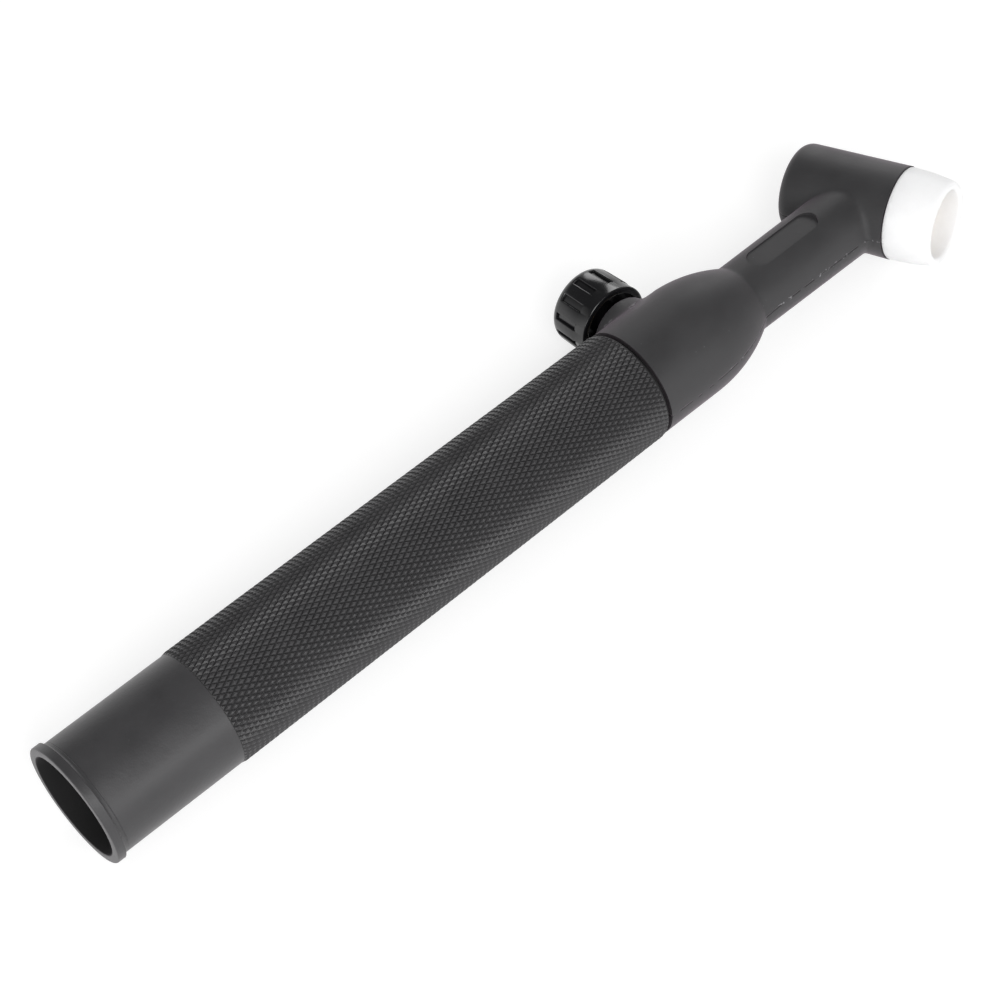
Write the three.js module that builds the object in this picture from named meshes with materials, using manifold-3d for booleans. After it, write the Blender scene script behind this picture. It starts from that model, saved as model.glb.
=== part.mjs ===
// A gas-valve TIG torch body as it comes out of its box: a knurled tube handle pushed over the rubber
// jacket, the brass and copper gas and current path inside it, the gas valve with its knob, and the
// white gasket on the bare head. Millimetres. In the torch's own frame +X runs along the handle from
// its open rear rim to the head, and the valve knob stands on +Z. At the end the torch is laid on the
// bench as it rests by itself, on the handle's lip and the knob's edge, with +Z up.
import * as THREE from 'three';
import Module from 'manifold-3d';
import { mergeVertices } from 'three/addons/utils/BufferGeometryUtils.js';

const wasm = await Module();
wasm.setup();

// ---- Clearances ----
const PUSH_GAP = 0.05; // radial, between pieces pushed or brazed together
const MOULD_GAP = 0.1; // between the rubber and the metal that it is moulded round
const FACE_GAP = 0.1; // between faces that are screwed or pressed together
const RUN_GAP = 0.1; // radial, round the turning valve stem
const SEAM_GAP = 0.3; // the dark seam between the jacket and the gasket

// ---- Roundness ----
const BIG_SIDES = 36;
const SMALL_SIDES = 16;
const RING_SIDES = 8;
const ARC_STEPS = 4;

// ---- Handle ----
const HANDLE_LENGTH = 180.3;
const HANDLE_BORE_R = 14.25;
const HANDLE_WALL = 1.8;
const SMOOTH_R = HANDLE_BORE_R + HANDLE_WALL;
const LIP_HEIGHT = 0.82;
const LIP_R = SMOOTH_R + LIP_HEIGHT;
const LIP_WIDTH = 2.3;
const LIP_EDGE = 0.5;
const LIP_FILLET = 0.85;
const MOUTH_CHAMFER = 0.35;
const KNURL_START = 38.7;
const KNURL_LEAD_IN = 0.3;
const KNURL_STEP = 0.3; // the knurl's tips above the smooth tail
const KNURL_TAPER = 0.4;
const KNURL_REAR_R = SMOOTH_R + KNURL_STEP;
const KNURL_FRONT_R = KNURL_REAR_R - KNURL_TAPER;
const HANDLE_FRONT_CHAMFER = 0.4;

// ---- Jacket: spigot, bulb and neck along the handle's axis ----
const SHOULDER_GAP = 0.95; // the open groove in front of the handle
const SHOULDER_X = HANDLE_LENGTH + SHOULDER_GAP; // the rest of the torch is placed from here
const SPIGOT_LENGTH = 24;
const SPIGOT_R = HANDLE_BORE_R - PUSH_GAP;
const SPIGOT_BORE_R = 9.8;
const SPIGOT_RIBS = 3;
const RIB_PITCH = 6;
const RIB_GROOVE_WIDTH = 3;
const RIB_GROOVE_DEPTH = 0.5;
const BULB_STEP = 0.4; // the bulb under the handle's smooth tail
const BULB_R = SMOOTH_R - BULB_STEP;
const BULB_EDGE = 0.4;
const BULB_LENGTH = 18.75; // its straight part
const DOME_START_X = SHOULDER_X + BULB_LENGTH;
const DOME_CURVE_R = 42.5;
const NECK_R = 10;
const NECK_HEAD_R = 10.25;

// ---- Recess in the neck's side ----
const RECESS_DISTANCE = 45.05; // from the shoulder
const RECESS_START_X = SHOULDER_X + RECESS_DISTANCE;
const RECESS_LENGTH = 24.1;
const RECESS_HALF_WIDTH = 3.55;
const RECESS_DEPTH = 0.9; // below the neck's crest

// ---- Head ----
const HEAD_DISTANCE = 88.55; // from the shoulder
const HEAD_X = SHOULDER_X + HEAD_DISTANCE; // where the head's axis crosses the handle's
const HEAD_ANGLE = THREE.MathUtils.degToRad(71.65); // between the two axes
const HEAD_FRONT_R = 12.76;
const HEAD_CAP_R = 12.5;
const HEAD_FRONT = 10.4; // along the head's axis, towards the nozzle end
const HEAD_CAP_END = -21.8;
const HEAD_ROUND = 3;
const CAP_HOLE_R = 6.6;

// ---- Brass barrel in the head ----
const BARREL_R = 8.2;
const BARREL_REAR = -17.5;
const BARREL_NOSE = 14.5;
const CAP_THREAD_R = 4.9;
const CAP_THREAD_DEPTH = 12;
const COLLET_THREAD_R = 4.6;
const COLLET_THREAD_DEPTH = 11;
const BARREL_PASSAGE_R = 3.4;
const BARREL_CHAMFER = 0.5;

// ---- Gasket ----
const GASKET_REAR = HEAD_FRONT + SEAM_GAP;
const GASKET_FRONT = 22.9;
const GASKET_FLOOR = 15;
const GASKET_REAR_R = 12.7;
const GASKET_FRONT_R = 10.9;
const GASKET_TAPER_POWER = 2.2;
const GASKET_MOUTH_R = 9.7;
const GASKET_EDGE = 0.4;

// ---- Tubes and cable stud ----
const TUBE_R = 4;
const TUBE_BORE_R = 3.2;
const NECK_TUBE_IN_BARREL = 3;
const TUBE_IN_SOCKET = 5;
const TAIL_TUBE_LENGTH = 34;
const STUD_HEX = 16; // across flats
const STUD_HEX_LENGTH = 7;
const STUD_THREAD_R = 7.9;
const STUD_NECK_R = 7;
const STUD_NECK_LENGTH = 2;
const STUD_THREAD_LENGTH = 14;
const STUD_CHAMFER = 1.2;
const STUD_BORE_R = 2.4;
const STUD_SEAT_R = 5.2;
const STUD_SEAT_DEPTH = 3;

// ---- Gas valve, along its own axis from the handle's axis outwards ----
const VALVE_DISTANCE = 12.45; // from the shoulder
const VALVE_X = SHOULDER_X + VALVE_DISTANCE;
const BLOCK_R = 8.5;
const BLOCK_HALF_LENGTH = 10.8;
const TOWER_R = 7.2;
const TOWER_TOP = 15.2;
const ORIFICE_R = 0.7;
const INLET_OFFSET = -2.3;
const OUTLET_OFFSET = 1.2;
const INLET_R = 0.8;
const OUTLET_R = 0.9;
const CHAMBER_FLOOR = -0.6;
const CHAMBER_R = 2;
const THREAD_FLOOR = 2.2;
const STEM_THREAD_R = 3.1;
const SEAL_FLOOR = 6.2;
const SEAL_BORE_R = 3.6;
const WASHER_FLOOR = 13;
const GLAND_BORE_R = 4.8;
const WASHER_THICK = 0.6;
const GLAND_HEX = 11.6; // across flats
const GLAND_HEX_HEIGHT = 2.5;
const BOSS_R = 9.3;
const BOSS_TOP = 17.4;
const BOSS_ROUND = 0.5;

// ---- Valve stem and its rings ----
const STEM_R = 2;
const STEM_TOP = 28;
const STEM_TIP = -0.55;
const STEM_TIP_R = 0.35;
const STEM_POINT_R = 1.3;
const STEM_POINT_TOP = 1.2;
const STEM_THREAD_START = 2.4;
const STEM_THREAD_END = 5.2;
const STEM_WAIST_R = 2.4;
const LAND_R = SEAL_BORE_R - RUN_GAP - PUSH_GAP;
const LAND_START = 6.6;
const LAND_WIDTH = 0.4;
const GROOVE_WIDTH = 1.7;
const GROOVE_R = 1.95;
const RING_WIRE_R = 0.76;
const RING_R = 2.78;
const FLAT_START = 20;
const FLAT_OFFSET = 1.5;
const SCREW_HOLE_R = 1.25;
const SCREW_HOLE_DEPTH = 6;

// ---- Knob ----
const KNOB_RIM = 19.6;
const KNOB_TOP = 32.6;
const KNOB_RIM_R = 10.9;
const KNOB_WAIST_R = 10.4;
const KNOB_LOBE_R = 10.95;
const KNOB_LOBE_START = 23.2;
const KNOB_ROUND_START = 30.2;
const KNOB_TOP_R = 9.2;
const KNOB_LOBES = 12;
const KNOB_SLOT_WIDTH = 1.5;
const KNOB_SLOT_R = 10.35;
const KNOB_SLOT_END = 30.6;
const KNOB_SKIRT_BORE_R = 9;
const KNOB_HUB_R = 4.6;
const KNOB_HUB_START = 18.7;
const KNOB_WEB = 25.4;
const KNOB_SEAT = STEM_TOP + RUN_GAP;
const KNOB_WELL_R = 3.2;
const KNOB_CAP_R = 7;
const KNOB_CAP_FLOOR = 31.3;
const KNOB_CAP_EDGE = 0.3;
const KNOB_EDGE = 0.35;
const LOCK_WASHER_R = 2.6;
const LOCK_WASHER_THICK = 0.5;
const SCREW_HEAD_R = 2.4;
const SCREW_HEAD_HEIGHT = 1.6;
const SCREW_R = 1.2;
const SCREW_LENGTH = 5;

// ---- Materials ----
function material(name, color, roughness, metalness) {
  return new THREE.MeshStandardMaterial({ name, color, roughness, metalness });
}
const RUBBER = material('jacket_rubber', 0x39393b, 0.62, 0);
const NYLON = material('handle_nylon', 0x343436, 0.5, 0);
const GLOSSY = material('knob_plastic', 0x0c0c0d, 0.18, 0);
const PTFE = material('white_ptfe', 0xf4f4f6, 0.42, 0);
const BRASS = material('brass', 0xb8934a, 0.32, 1);
const COPPER = material('copper', 0xb87450, 0.36, 1);
const STEEL = material('zinc_steel', 0xb4b6ba, 0.3, 1);
const SEAL = material('seal_rubber', 0x1c1c1d, 0.7, 0);
const FIBRE = material('seal_washer', 0xdcd8cf, 0.6, 0);

// ---- Closed bodies ----
function signedVolume(geometry) {
  const place = geometry.getAttribute('position');
  const index = geometry.getIndex();
  const corner = [new THREE.Vector3(), new THREE.Vector3(), new THREE.Vector3()];
  let sum = 0;
  for (let i = 0; i < index.count; i += 3) {
    corner.forEach((point, k) => point.fromBufferAttribute(place, index.getX(i + k)));
    sum += corner[0].dot(corner[1].cross(corner[2]));
  }
  return sum;
}

// Merges shared vertices, drops collapsed triangles and turns the faces outwards.
function closed(source) {
  const bare = source.clone();
  bare.deleteAttribute('normal');
  bare.deleteAttribute('uv');
  const merged = mergeVertices(bare);
  const index = merged.getIndex();
  const flip = signedVolume(merged) < 0;
  const triangles = [];
  for (let i = 0; i < index.count; i += 3) {
    const [a, b, c] = [index.getX(i), index.getX(i + 1), index.getX(i + 2)];
    if (a !== b && b !== c && c !== a) {
      triangles.push(...(flip ? [a, c, b] : [a, b, c]));
    }
  }
  merged.setIndex(triangles);
  return merged;
}

function toSolid(source) {
  const geometry = closed(source);
  const vertProperties = new Float32Array(geometry.getAttribute('position').array);
  const triVerts = new Uint32Array(geometry.getIndex().array);
  return new wasm.Manifold(new wasm.Mesh({ numProp: 3, vertProperties, triVerts }));
}

function toGeometry(solid) {
  const { vertProperties, triVerts } = solid.getMesh();
  const geometry = new THREE.BufferGeometry();
  geometry.setAttribute('position', new THREE.BufferAttribute(vertProperties, 3));
  geometry.setIndex(new THREE.BufferAttribute(triVerts, 1));
  geometry.computeVertexNormals();
  return geometry;
}

function join(first, ...others) {
  return toGeometry(others.reduce((solid, other) => solid.add(toSolid(other)), toSolid(first)));
}

function cut(first, ...others) {
  return toGeometry(others.reduce((solid, other) => solid.subtract(toSolid(other)), toSolid(first)));
}

// ---- Shapes about their own +Z axis ----
// A turned piece from [along the axis, radius] points; an outline off the axis closes on itself.
function turned(outline, sides = SMALL_SIDES) {
  const points = outline.map(([along, radius]) => new THREE.Vector2(radius, along));
  const onAxis = outline[0][1] === 0 && outline.at(-1)[1] === 0;
  if (!onAxis) {
    points.push(points[0].clone());
  }
  return closed(new THREE.LatheGeometry(points, sides).rotateX(Math.PI / 2));
}

function rod(from, to, radius, sides = SMALL_SIDES) {
  return turned([[from, 0], [from, radius], [to, radius], [to, 0]], sides);
}

function hexagon(from, to, acrossFlats) {
  const radius = acrossFlats / 2 / Math.cos(Math.PI / 6);
  return rod(from, to, radius, 6);
}

// Points of a quarter-ellipse edge between two outline points, bulging away from its centre.
function quarter(centreAlong, centreRadius, alongSize, radiusSize, fromAngle, toAngle, steps = ARC_STEPS) {
  const points = [];
  for (let i = 0; i <= steps; i++) {
    const angle = THREE.MathUtils.lerp(fromAngle, toAngle, i / steps);
    const along = centreAlong + alongSize * Math.sin(angle);
    points.push([along, centreRadius + radiusSize * Math.cos(angle)]);
  }
  return points;
}

// ---- Places: each group's +Z is the axis that its pieces are turned about ----
function place(x, turnAboutY) {
  const group = new THREE.Group();
  group.position.x = x;
  group.rotation.y = turnAboutY;
  group.updateMatrix();
  return group;
}
const alongHandle = place(0, Math.PI / 2);
const alongHead = place(HEAD_X, Math.PI / 2 + HEAD_ANGLE);
const alongValve = place(VALVE_X, 0);

function moved(geometry, group) {
  return geometry.clone().applyMatrix4(group.matrix);
}

// The same shape, given in the torch's frame, as seen from inside a group.
function seenFrom(geometry, group) {
  return geometry.clone().applyMatrix4(group.matrix.clone().invert());
}

function addPiece(group, name, surface, geometry) {
  const piece = new THREE.Mesh(geometry, surface);
  piece.name = name;
  group.add(piece);
}

// ---- Handle: a plain tube at the height of its knurl's tips, with a lip round its rear mouth ----
function handle() {
  const lipEnd = LIP_WIDTH;
  const fillet = quarter(lipEnd + LIP_FILLET, SMOOTH_R + LIP_FILLET, -LIP_FILLET, -LIP_FILLET, Math.PI / 2, 0);
  return turned([
    [0, HANDLE_BORE_R + MOUTH_CHAMFER],
    [0, LIP_R - LIP_EDGE],
    [LIP_EDGE, LIP_R],
    [lipEnd, LIP_R],
    ...fillet.slice(1),
    [KNURL_START - KNURL_LEAD_IN, SMOOTH_R],
    [KNURL_START, KNURL_REAR_R],
    [HANDLE_LENGTH - HANDLE_FRONT_CHAMFER, KNURL_FRONT_R],
    [HANDLE_LENGTH, KNURL_FRONT_R - HANDLE_FRONT_CHAMFER],
    [HANDLE_LENGTH, HANDLE_BORE_R],
    [MOUTH_CHAMFER, HANDLE_BORE_R],
  ], BIG_SIDES);
}

// ---- Jacket: one rubber moulding over the head, neck, valve block and the handle's spigot ----
function spigotOutline() {
  const rear = SHOULDER_X - SPIGOT_LENGTH;
  const points = [[rear, 0], [rear, SPIGOT_R]];
  for (let i = 0; i < SPIGOT_RIBS; i++) {
    const start = rear + RIB_PITCH * (i + 0.5);
    points.push([start, SPIGOT_R], [start, SPIGOT_R - RIB_GROOVE_DEPTH]);
    points.push([start + RIB_GROOVE_WIDTH, SPIGOT_R - RIB_GROOVE_DEPTH], [start + RIB_GROOVE_WIDTH, SPIGOT_R]);
  }
  return points;
}

// The bulb ends in a round dome that meets the neck in a crease.
function domeOutline() {
  const centreR = BULB_R - DOME_CURVE_R;
  const sweep = Math.acos((NECK_R - centreR) / DOME_CURVE_R);
  return quarter(DOME_START_X, centreR, DOME_CURVE_R, DOME_CURVE_R, 0, sweep, 2 * ARC_STEPS);
}

function bulbAndNeck() {
  return turned([
    ...spigotOutline(),
    [SHOULDER_X, SPIGOT_R],
    [SHOULDER_X, BULB_R - BULB_EDGE],
    [SHOULDER_X + BULB_EDGE, BULB_R],
    ...domeOutline(),
    [HEAD_X, NECK_HEAD_R],
    [HEAD_X, 0],
  ], BIG_SIDES);
}

function headCover() {
  const roundStart = HEAD_CAP_END + HEAD_ROUND;
  const edge = quarter(roundStart, HEAD_CAP_R - HEAD_ROUND, -HEAD_ROUND, HEAD_ROUND, Math.PI / 2, 0);
  return turned([[HEAD_CAP_END, 0], ...edge, [HEAD_FRONT, HEAD_FRONT_R], [HEAD_FRONT, 0]], BIG_SIDES);
}

function valveBoss() {
  return turned([
    [0, 0],
    [0, BOSS_R],
    [BOSS_TOP - BOSS_ROUND, BOSS_R],
    [BOSS_TOP, BOSS_R - BOSS_ROUND],
    [BOSS_TOP, 0],
  ], BIG_SIDES);
}

function neckRecess() {
  const outline = new THREE.Shape();
  const rearCentre = RECESS_START_X + RECESS_HALF_WIDTH;
  const frontCentre = RECESS_START_X + RECESS_LENGTH - RECESS_HALF_WIDTH;
  outline.absarc(rearCentre, 0, RECESS_HALF_WIDTH, Math.PI / 2, 1.5 * Math.PI, false);
  outline.absarc(frontCentre, 0, RECESS_HALF_WIDTH, -Math.PI / 2, Math.PI / 2, false);
  const slab = new THREE.ExtrudeGeometry(outline, { depth: NECK_R, bevelEnabled: false, curveSegments: ARC_STEPS });
  // The slab lies in XZ and reaches outwards from the recess's floor.
  return slab.rotateX(Math.PI / 2).translate(0, -(NECK_R - RECESS_DEPTH), 0);
}

function jacket() {
  const outside = join(
    moved(bulbAndNeck(), alongHandle),
    moved(headCover(), alongHead),
    moved(valveBoss(), alongValve),
  );
  const blockRoom = rod(
    SHOULDER_X - SPIGOT_LENGTH - 1,
    VALVE_X + BLOCK_HALF_LENGTH + MOULD_GAP,
    SPIGOT_BORE_R,
    BIG_SIDES,
  );
  const tubeRoom = rod(VALVE_X, HEAD_X, TUBE_R + MOULD_GAP);
  const towerRoom = rod(0, BOSS_TOP + 1, TOWER_R + MOULD_GAP, BIG_SIDES);
  const barrelRoom = rod(BARREL_REAR - MOULD_GAP, HEAD_FRONT + 1, BARREL_R + MOULD_GAP, BIG_SIDES);
  const capRoom = rod(HEAD_CAP_END - 1, BARREL_REAR, CAP_HOLE_R, BIG_SIDES);
  return cut(
    outside,
    moved(blockRoom, alongHandle),
    moved(tubeRoom, alongHandle),
    moved(towerRoom, alongValve),
    moved(barrelRoom, alongHead),
    moved(capRoom, alongHead),
    neckRecess(),
  );
}

// ---- Head ----
function headBarrel() {
  const body = turned([
    [BARREL_REAR, CAP_THREAD_R],
    [BARREL_REAR, BARREL_R - BARREL_CHAMFER],
    [BARREL_REAR + BARREL_CHAMFER, BARREL_R],
    [BARREL_NOSE - BARREL_CHAMFER, BARREL_R],
    [BARREL_NOSE, BARREL_R - BARREL_CHAMFER],
    [BARREL_NOSE, COLLET_THREAD_R],
    [BARREL_NOSE - COLLET_THREAD_DEPTH, COLLET_THREAD_R],
    [BARREL_NOSE - COLLET_THREAD_DEPTH, BARREL_PASSAGE_R],
    [BARREL_REAR + CAP_THREAD_DEPTH, BARREL_PASSAGE_R],
    [BARREL_REAR + CAP_THREAD_DEPTH, CAP_THREAD_R],
  ], BIG_SIDES);
  const socket = rod(VALVE_X, neckTubeEnd() + FACE_GAP, TUBE_R + PUSH_GAP);
  const passage = rod(VALVE_X, HEAD_X, BARREL_PASSAGE_R - 1);
  return cut(
    body,
    seenFrom(moved(socket, alongHandle), alongHead),
    seenFrom(moved(passage, alongHandle), alongHead),
  );
}

function neckTubeEnd() {
  return HEAD_X - BARREL_R / Math.sin(HEAD_ANGLE) + NECK_TUBE_IN_BARREL;
}

function gasket() {
  const length = GASKET_FRONT - GASKET_EDGE - GASKET_REAR;
  const drop = GASKET_REAR_R - GASKET_FRONT_R;
  const outside = [];
  for (let i = 0; i <= ARC_STEPS; i++) {
    const share = i / ARC_STEPS;
    const radius = GASKET_REAR_R - drop * share ** GASKET_TAPER_POWER;
    outside.push([GASKET_REAR + length * share, radius]);
  }
  return turned([
    [GASKET_REAR, BARREL_R + PUSH_GAP],
    ...outside,
    [GASKET_FRONT, GASKET_FRONT_R - GASKET_EDGE],
    [GASKET_FRONT, GASKET_MOUTH_R + GASKET_EDGE],
    [GASKET_FRONT - GASKET_EDGE, GASKET_MOUTH_R],
    [GASKET_FLOOR, GASKET_MOUTH_R],
    [GASKET_FLOOR, BARREL_R + PUSH_GAP],
  ], BIG_SIDES);
}

// ---- Tubes and stud along the handle's axis ----
function tube(from, to) {
  return turned([[from, TUBE_BORE_R], [from, TUBE_R], [to, TUBE_R], [to, TUBE_BORE_R]]);
}

const BLOCK_REAR = VALVE_X - BLOCK_HALF_LENGTH;
const BLOCK_FRONT = VALVE_X + BLOCK_HALF_LENGTH;
const TAIL_TUBE_FRONT = BLOCK_REAR + TUBE_IN_SOCKET;
const TAIL_TUBE_REAR = TAIL_TUBE_FRONT - TAIL_TUBE_LENGTH;
const STUD_FRONT = TAIL_TUBE_REAR + TUBE_IN_SOCKET;
const STUD_HEX_REAR = STUD_FRONT - STUD_HEX_LENGTH;
const STUD_NECK_REAR = STUD_HEX_REAR - STUD_NECK_LENGTH;
const STUD_REAR = STUD_NECK_REAR - STUD_THREAD_LENGTH;

function cableStud() {
  const shank = turned([
    [STUD_REAR, 0],
    [STUD_REAR, STUD_THREAD_R - STUD_CHAMFER],
    [STUD_REAR + STUD_CHAMFER, STUD_THREAD_R],
    [STUD_NECK_REAR, STUD_THREAD_R],
    [STUD_NECK_REAR, STUD_NECK_R],
    [STUD_HEX_REAR + 1, STUD_NECK_R],
    [STUD_HEX_REAR + 1, 0],
  ]);
  const bore = turned([
    [STUD_REAR - 1, 0],
    [STUD_REAR - 1, STUD_SEAT_R],
    [STUD_REAR, STUD_SEAT_R],
    [STUD_REAR + STUD_SEAT_DEPTH, STUD_BORE_R],
    [TAIL_TUBE_REAR - FACE_GAP, STUD_BORE_R],
    [TAIL_TUBE_REAR - FACE_GAP, TUBE_R + PUSH_GAP],
    [STUD_FRONT + 1, TUBE_R + PUSH_GAP],
    [STUD_FRONT + 1, 0],
  ]);
  return cut(join(hexagon(STUD_HEX_REAR, STUD_FRONT, STUD_HEX), shank), bore);
}

// ---- Gas valve ----
// The gas comes in below the orifice, past the stem's point and out above it into the neck.
function valveBlock() {
  const half = BLOCK_HALF_LENGTH;
  const barrel = rod(-half, half, BLOCK_R, BIG_SIDES).rotateY(Math.PI / 2);
  const tower = rod(0, TOWER_TOP, TOWER_R, BIG_SIDES);
  const stemBore = turned([
    [INLET_OFFSET, 0],
    [INLET_OFFSET, ORIFICE_R],
    [CHAMBER_FLOOR, ORIFICE_R],
    [CHAMBER_FLOOR, CHAMBER_R],
    [THREAD_FLOOR, CHAMBER_R],
    [THREAD_FLOOR, STEM_THREAD_R + RUN_GAP],
    [SEAL_FLOOR, STEM_THREAD_R + RUN_GAP],
    [SEAL_FLOOR, SEAL_BORE_R],
    [WASHER_FLOOR, SEAL_BORE_R],
    [WASHER_FLOOR, GLAND_BORE_R],
    [TOWER_TOP + 1, GLAND_BORE_R],
    [TOWER_TOP + 1, 0],
  ]);
  const socket = (from, to) => rod(from, to, TUBE_R + PUSH_GAP).rotateY(Math.PI / 2);
  const drilling = (from, to, radius, offset) => rod(from, to, radius).rotateY(Math.PI / 2).translate(0, 0, offset);
  const socketDepth = half - TUBE_IN_SOCKET - FACE_GAP;
  return cut(
    join(barrel, tower),
    stemBore,
    socket(-half - 1, -socketDepth),
    socket(socketDepth, half + 1),
    drilling(-half, ORIFICE_R, INLET_R, INLET_OFFSET),
    drilling(0, half, OUTLET_R, OUTLET_OFFSET),
  );
}

function valveStem() {
  const firstGroove = LAND_START + LAND_WIDTH;
  const secondGroove = firstGroove + GROOVE_WIDTH + LAND_WIDTH;
  const lastLand = secondGroove + GROOVE_WIDTH;
  const body = turned([
    [STEM_TIP, 0],
    [STEM_TIP, STEM_TIP_R],
    [STEM_POINT_TOP, STEM_POINT_R],
    [STEM_THREAD_START, STEM_POINT_R],
    [STEM_THREAD_START, STEM_THREAD_R],
    [STEM_THREAD_END, STEM_THREAD_R],
    [STEM_THREAD_END, STEM_WAIST_R],
    [LAND_START, STEM_WAIST_R],
    [LAND_START, LAND_R],
    [firstGroove, LAND_R],
    [firstGroove, GROOVE_R],
    [firstGroove + GROOVE_WIDTH, GROOVE_R],
    [firstGroove + GROOVE_WIDTH, LAND_R],
    [secondGroove, LAND_R],
    [secondGroove, GROOVE_R],
    [lastLand, GROOVE_R],
    [lastLand, LAND_R],
    [lastLand + LAND_WIDTH, LAND_R],
    [lastLand + LAND_WIDTH, STEM_R],
    [STEM_TOP, STEM_R],
    [STEM_TOP, 0],
  ]);
  const screwHole = rod(STEM_TOP - SCREW_HOLE_DEPTH, STEM_TOP + 1, SCREW_HOLE_R);
  return cut(body, screwHole, flatOnStem(FLAT_START, STEM_TOP + 1, FLAT_OFFSET));
}

// The block that takes the stem's flat away, or leaves it standing in the knob's hub.
function flatOnStem(from, to, offset) {
  const width = 4 * STEM_R;
  const block = new THREE.BoxGeometry(width, STEM_R, to - from);
  return block.translate(0, offset + STEM_R / 2, (from + to) / 2);
}

function stemRing(number) {
  const pitch = GROOVE_WIDTH + LAND_WIDTH;
  const middle = LAND_START + LAND_WIDTH + GROOVE_WIDTH / 2 + pitch * number;
  return closed(new THREE.TorusGeometry(RING_R, RING_WIRE_R, RING_SIDES, SMALL_SIDES).translate(0, 0, middle));
}

const WASHER_BOTTOM = WASHER_FLOOR + PUSH_GAP;
const WASHER_TOP = WASHER_BOTTOM + WASHER_THICK;

function glandWasher() {
  const outer = GLAND_BORE_R - RUN_GAP;
  const inner = STEM_R + RUN_GAP;
  return turned([[WASHER_BOTTOM, inner], [WASHER_BOTTOM, outer], [WASHER_TOP, outer], [WASHER_TOP, inner]]);
}

function glandNut() {
  const hexBottom = TOWER_TOP + FACE_GAP;
  const hexTop = hexBottom + GLAND_HEX_HEIGHT;
  const spigot = rod(WASHER_TOP + FACE_GAP, hexBottom + 1, GLAND_BORE_R - RUN_GAP);
  const bore = rod(WASHER_TOP, hexTop + 1, STEM_R + RUN_GAP);
  return cut(join(hexagon(hexBottom, hexTop, GLAND_HEX), spigot), bore);
}

// ---- Knob: a deep cap with raised lobes, hollow from below round a hub ----
function valveKnob() {
  const top = quarter(
    KNOB_ROUND_START,
    KNOB_TOP_R,
    KNOB_TOP - KNOB_ROUND_START,
    KNOB_LOBE_R - KNOB_TOP_R,
    0,
    Math.PI / 2,
  );
  const body = turned([
    [KNOB_RIM, KNOB_SKIRT_BORE_R],
    [KNOB_RIM, KNOB_RIM_R - KNOB_EDGE],
    [KNOB_RIM + KNOB_EDGE, KNOB_RIM_R],
    [KNOB_LOBE_START, KNOB_WAIST_R],
    [KNOB_LOBE_START, KNOB_LOBE_R],
    ...top,
    [KNOB_TOP, KNOB_CAP_R + PUSH_GAP],
    [KNOB_CAP_FLOOR, KNOB_CAP_R + PUSH_GAP],
    [KNOB_CAP_FLOOR, KNOB_WELL_R],
    [KNOB_SEAT, KNOB_WELL_R],
    [KNOB_SEAT, STEM_R + PUSH_GAP],
    [KNOB_HUB_START, STEM_R + PUSH_GAP],
    [KNOB_HUB_START, KNOB_HUB_R],
    [KNOB_WEB, KNOB_HUB_R],
    [KNOB_WEB, KNOB_SKIRT_BORE_R],
  ], BIG_SIDES);
  const slots = [];
  for (let i = 0; i < KNOB_LOBES; i++) {
    slots.push(knobSlot().rotateZ((i + 0.5) * 2 * Math.PI / KNOB_LOBES));
  }
  const slotted = cut(body, ...slots);
  return join(slotted, hubFlat());
}

function knobSlot() {
  const height = KNOB_SLOT_END - KNOB_LOBE_START;
  const slot = new THREE.BoxGeometry(2, KNOB_SLOT_WIDTH, height);
  return slot.translate(KNOB_SLOT_R + 1, 0, KNOB_LOBE_START + height / 2);
}

// The flat inside the hub's bore, which drives the stem.
function hubFlat() {
  const from = FLAT_START + FACE_GAP;
  const round = rod(from, KNOB_SEAT, STEM_R + 2 * PUSH_GAP);
  const keep = flatOnStem(from - 1, KNOB_SEAT + 1, FLAT_OFFSET + PUSH_GAP);
  return toGeometry(toSolid(round).intersect(toSolid(keep)));
}

function lockWasher() {
  const inner = SCREW_R + PUSH_GAP;
  const bottom = KNOB_SEAT + PUSH_GAP;
  const top = bottom + LOCK_WASHER_THICK;
  return turned([[bottom, inner], [bottom, LOCK_WASHER_R], [top, LOCK_WASHER_R], [top, inner]]);
}

function knobScrew() {
  const seat = KNOB_SEAT + 2 * PUSH_GAP + LOCK_WASHER_THICK;
  const headTop = seat + SCREW_HEAD_HEIGHT;
  const body = turned([
    [STEM_TOP - SCREW_LENGTH, 0],
    [STEM_TOP - SCREW_LENGTH, SCREW_R],
    [seat, SCREW_R],
    [seat, SCREW_HEAD_R],
    [headTop - SCREW_R / 2, SCREW_HEAD_R],
    [headTop, SCREW_HEAD_R - SCREW_R / 2],
    [headTop, 0],
  ]);
  const slotWidth = SCREW_R / 2;
  const slot = new THREE.BoxGeometry(3 * SCREW_HEAD_R, slotWidth, SCREW_HEAD_HEIGHT);
  return cut(body, slot.translate(0, 0, headTop));
}

function knobCap() {
  const bottom = KNOB_CAP_FLOOR + PUSH_GAP;
  return turned([
    [bottom, 0],
    [bottom, KNOB_CAP_R],
    [KNOB_TOP - KNOB_CAP_EDGE, KNOB_CAP_R],
    [KNOB_TOP, KNOB_CAP_R - KNOB_CAP_EDGE],
    [KNOB_TOP, 0],
  ], BIG_SIDES);
}

// ---- The torch ----
const torch = new THREE.Group();
torch.add(alongHandle, alongHead, alongValve);

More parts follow.
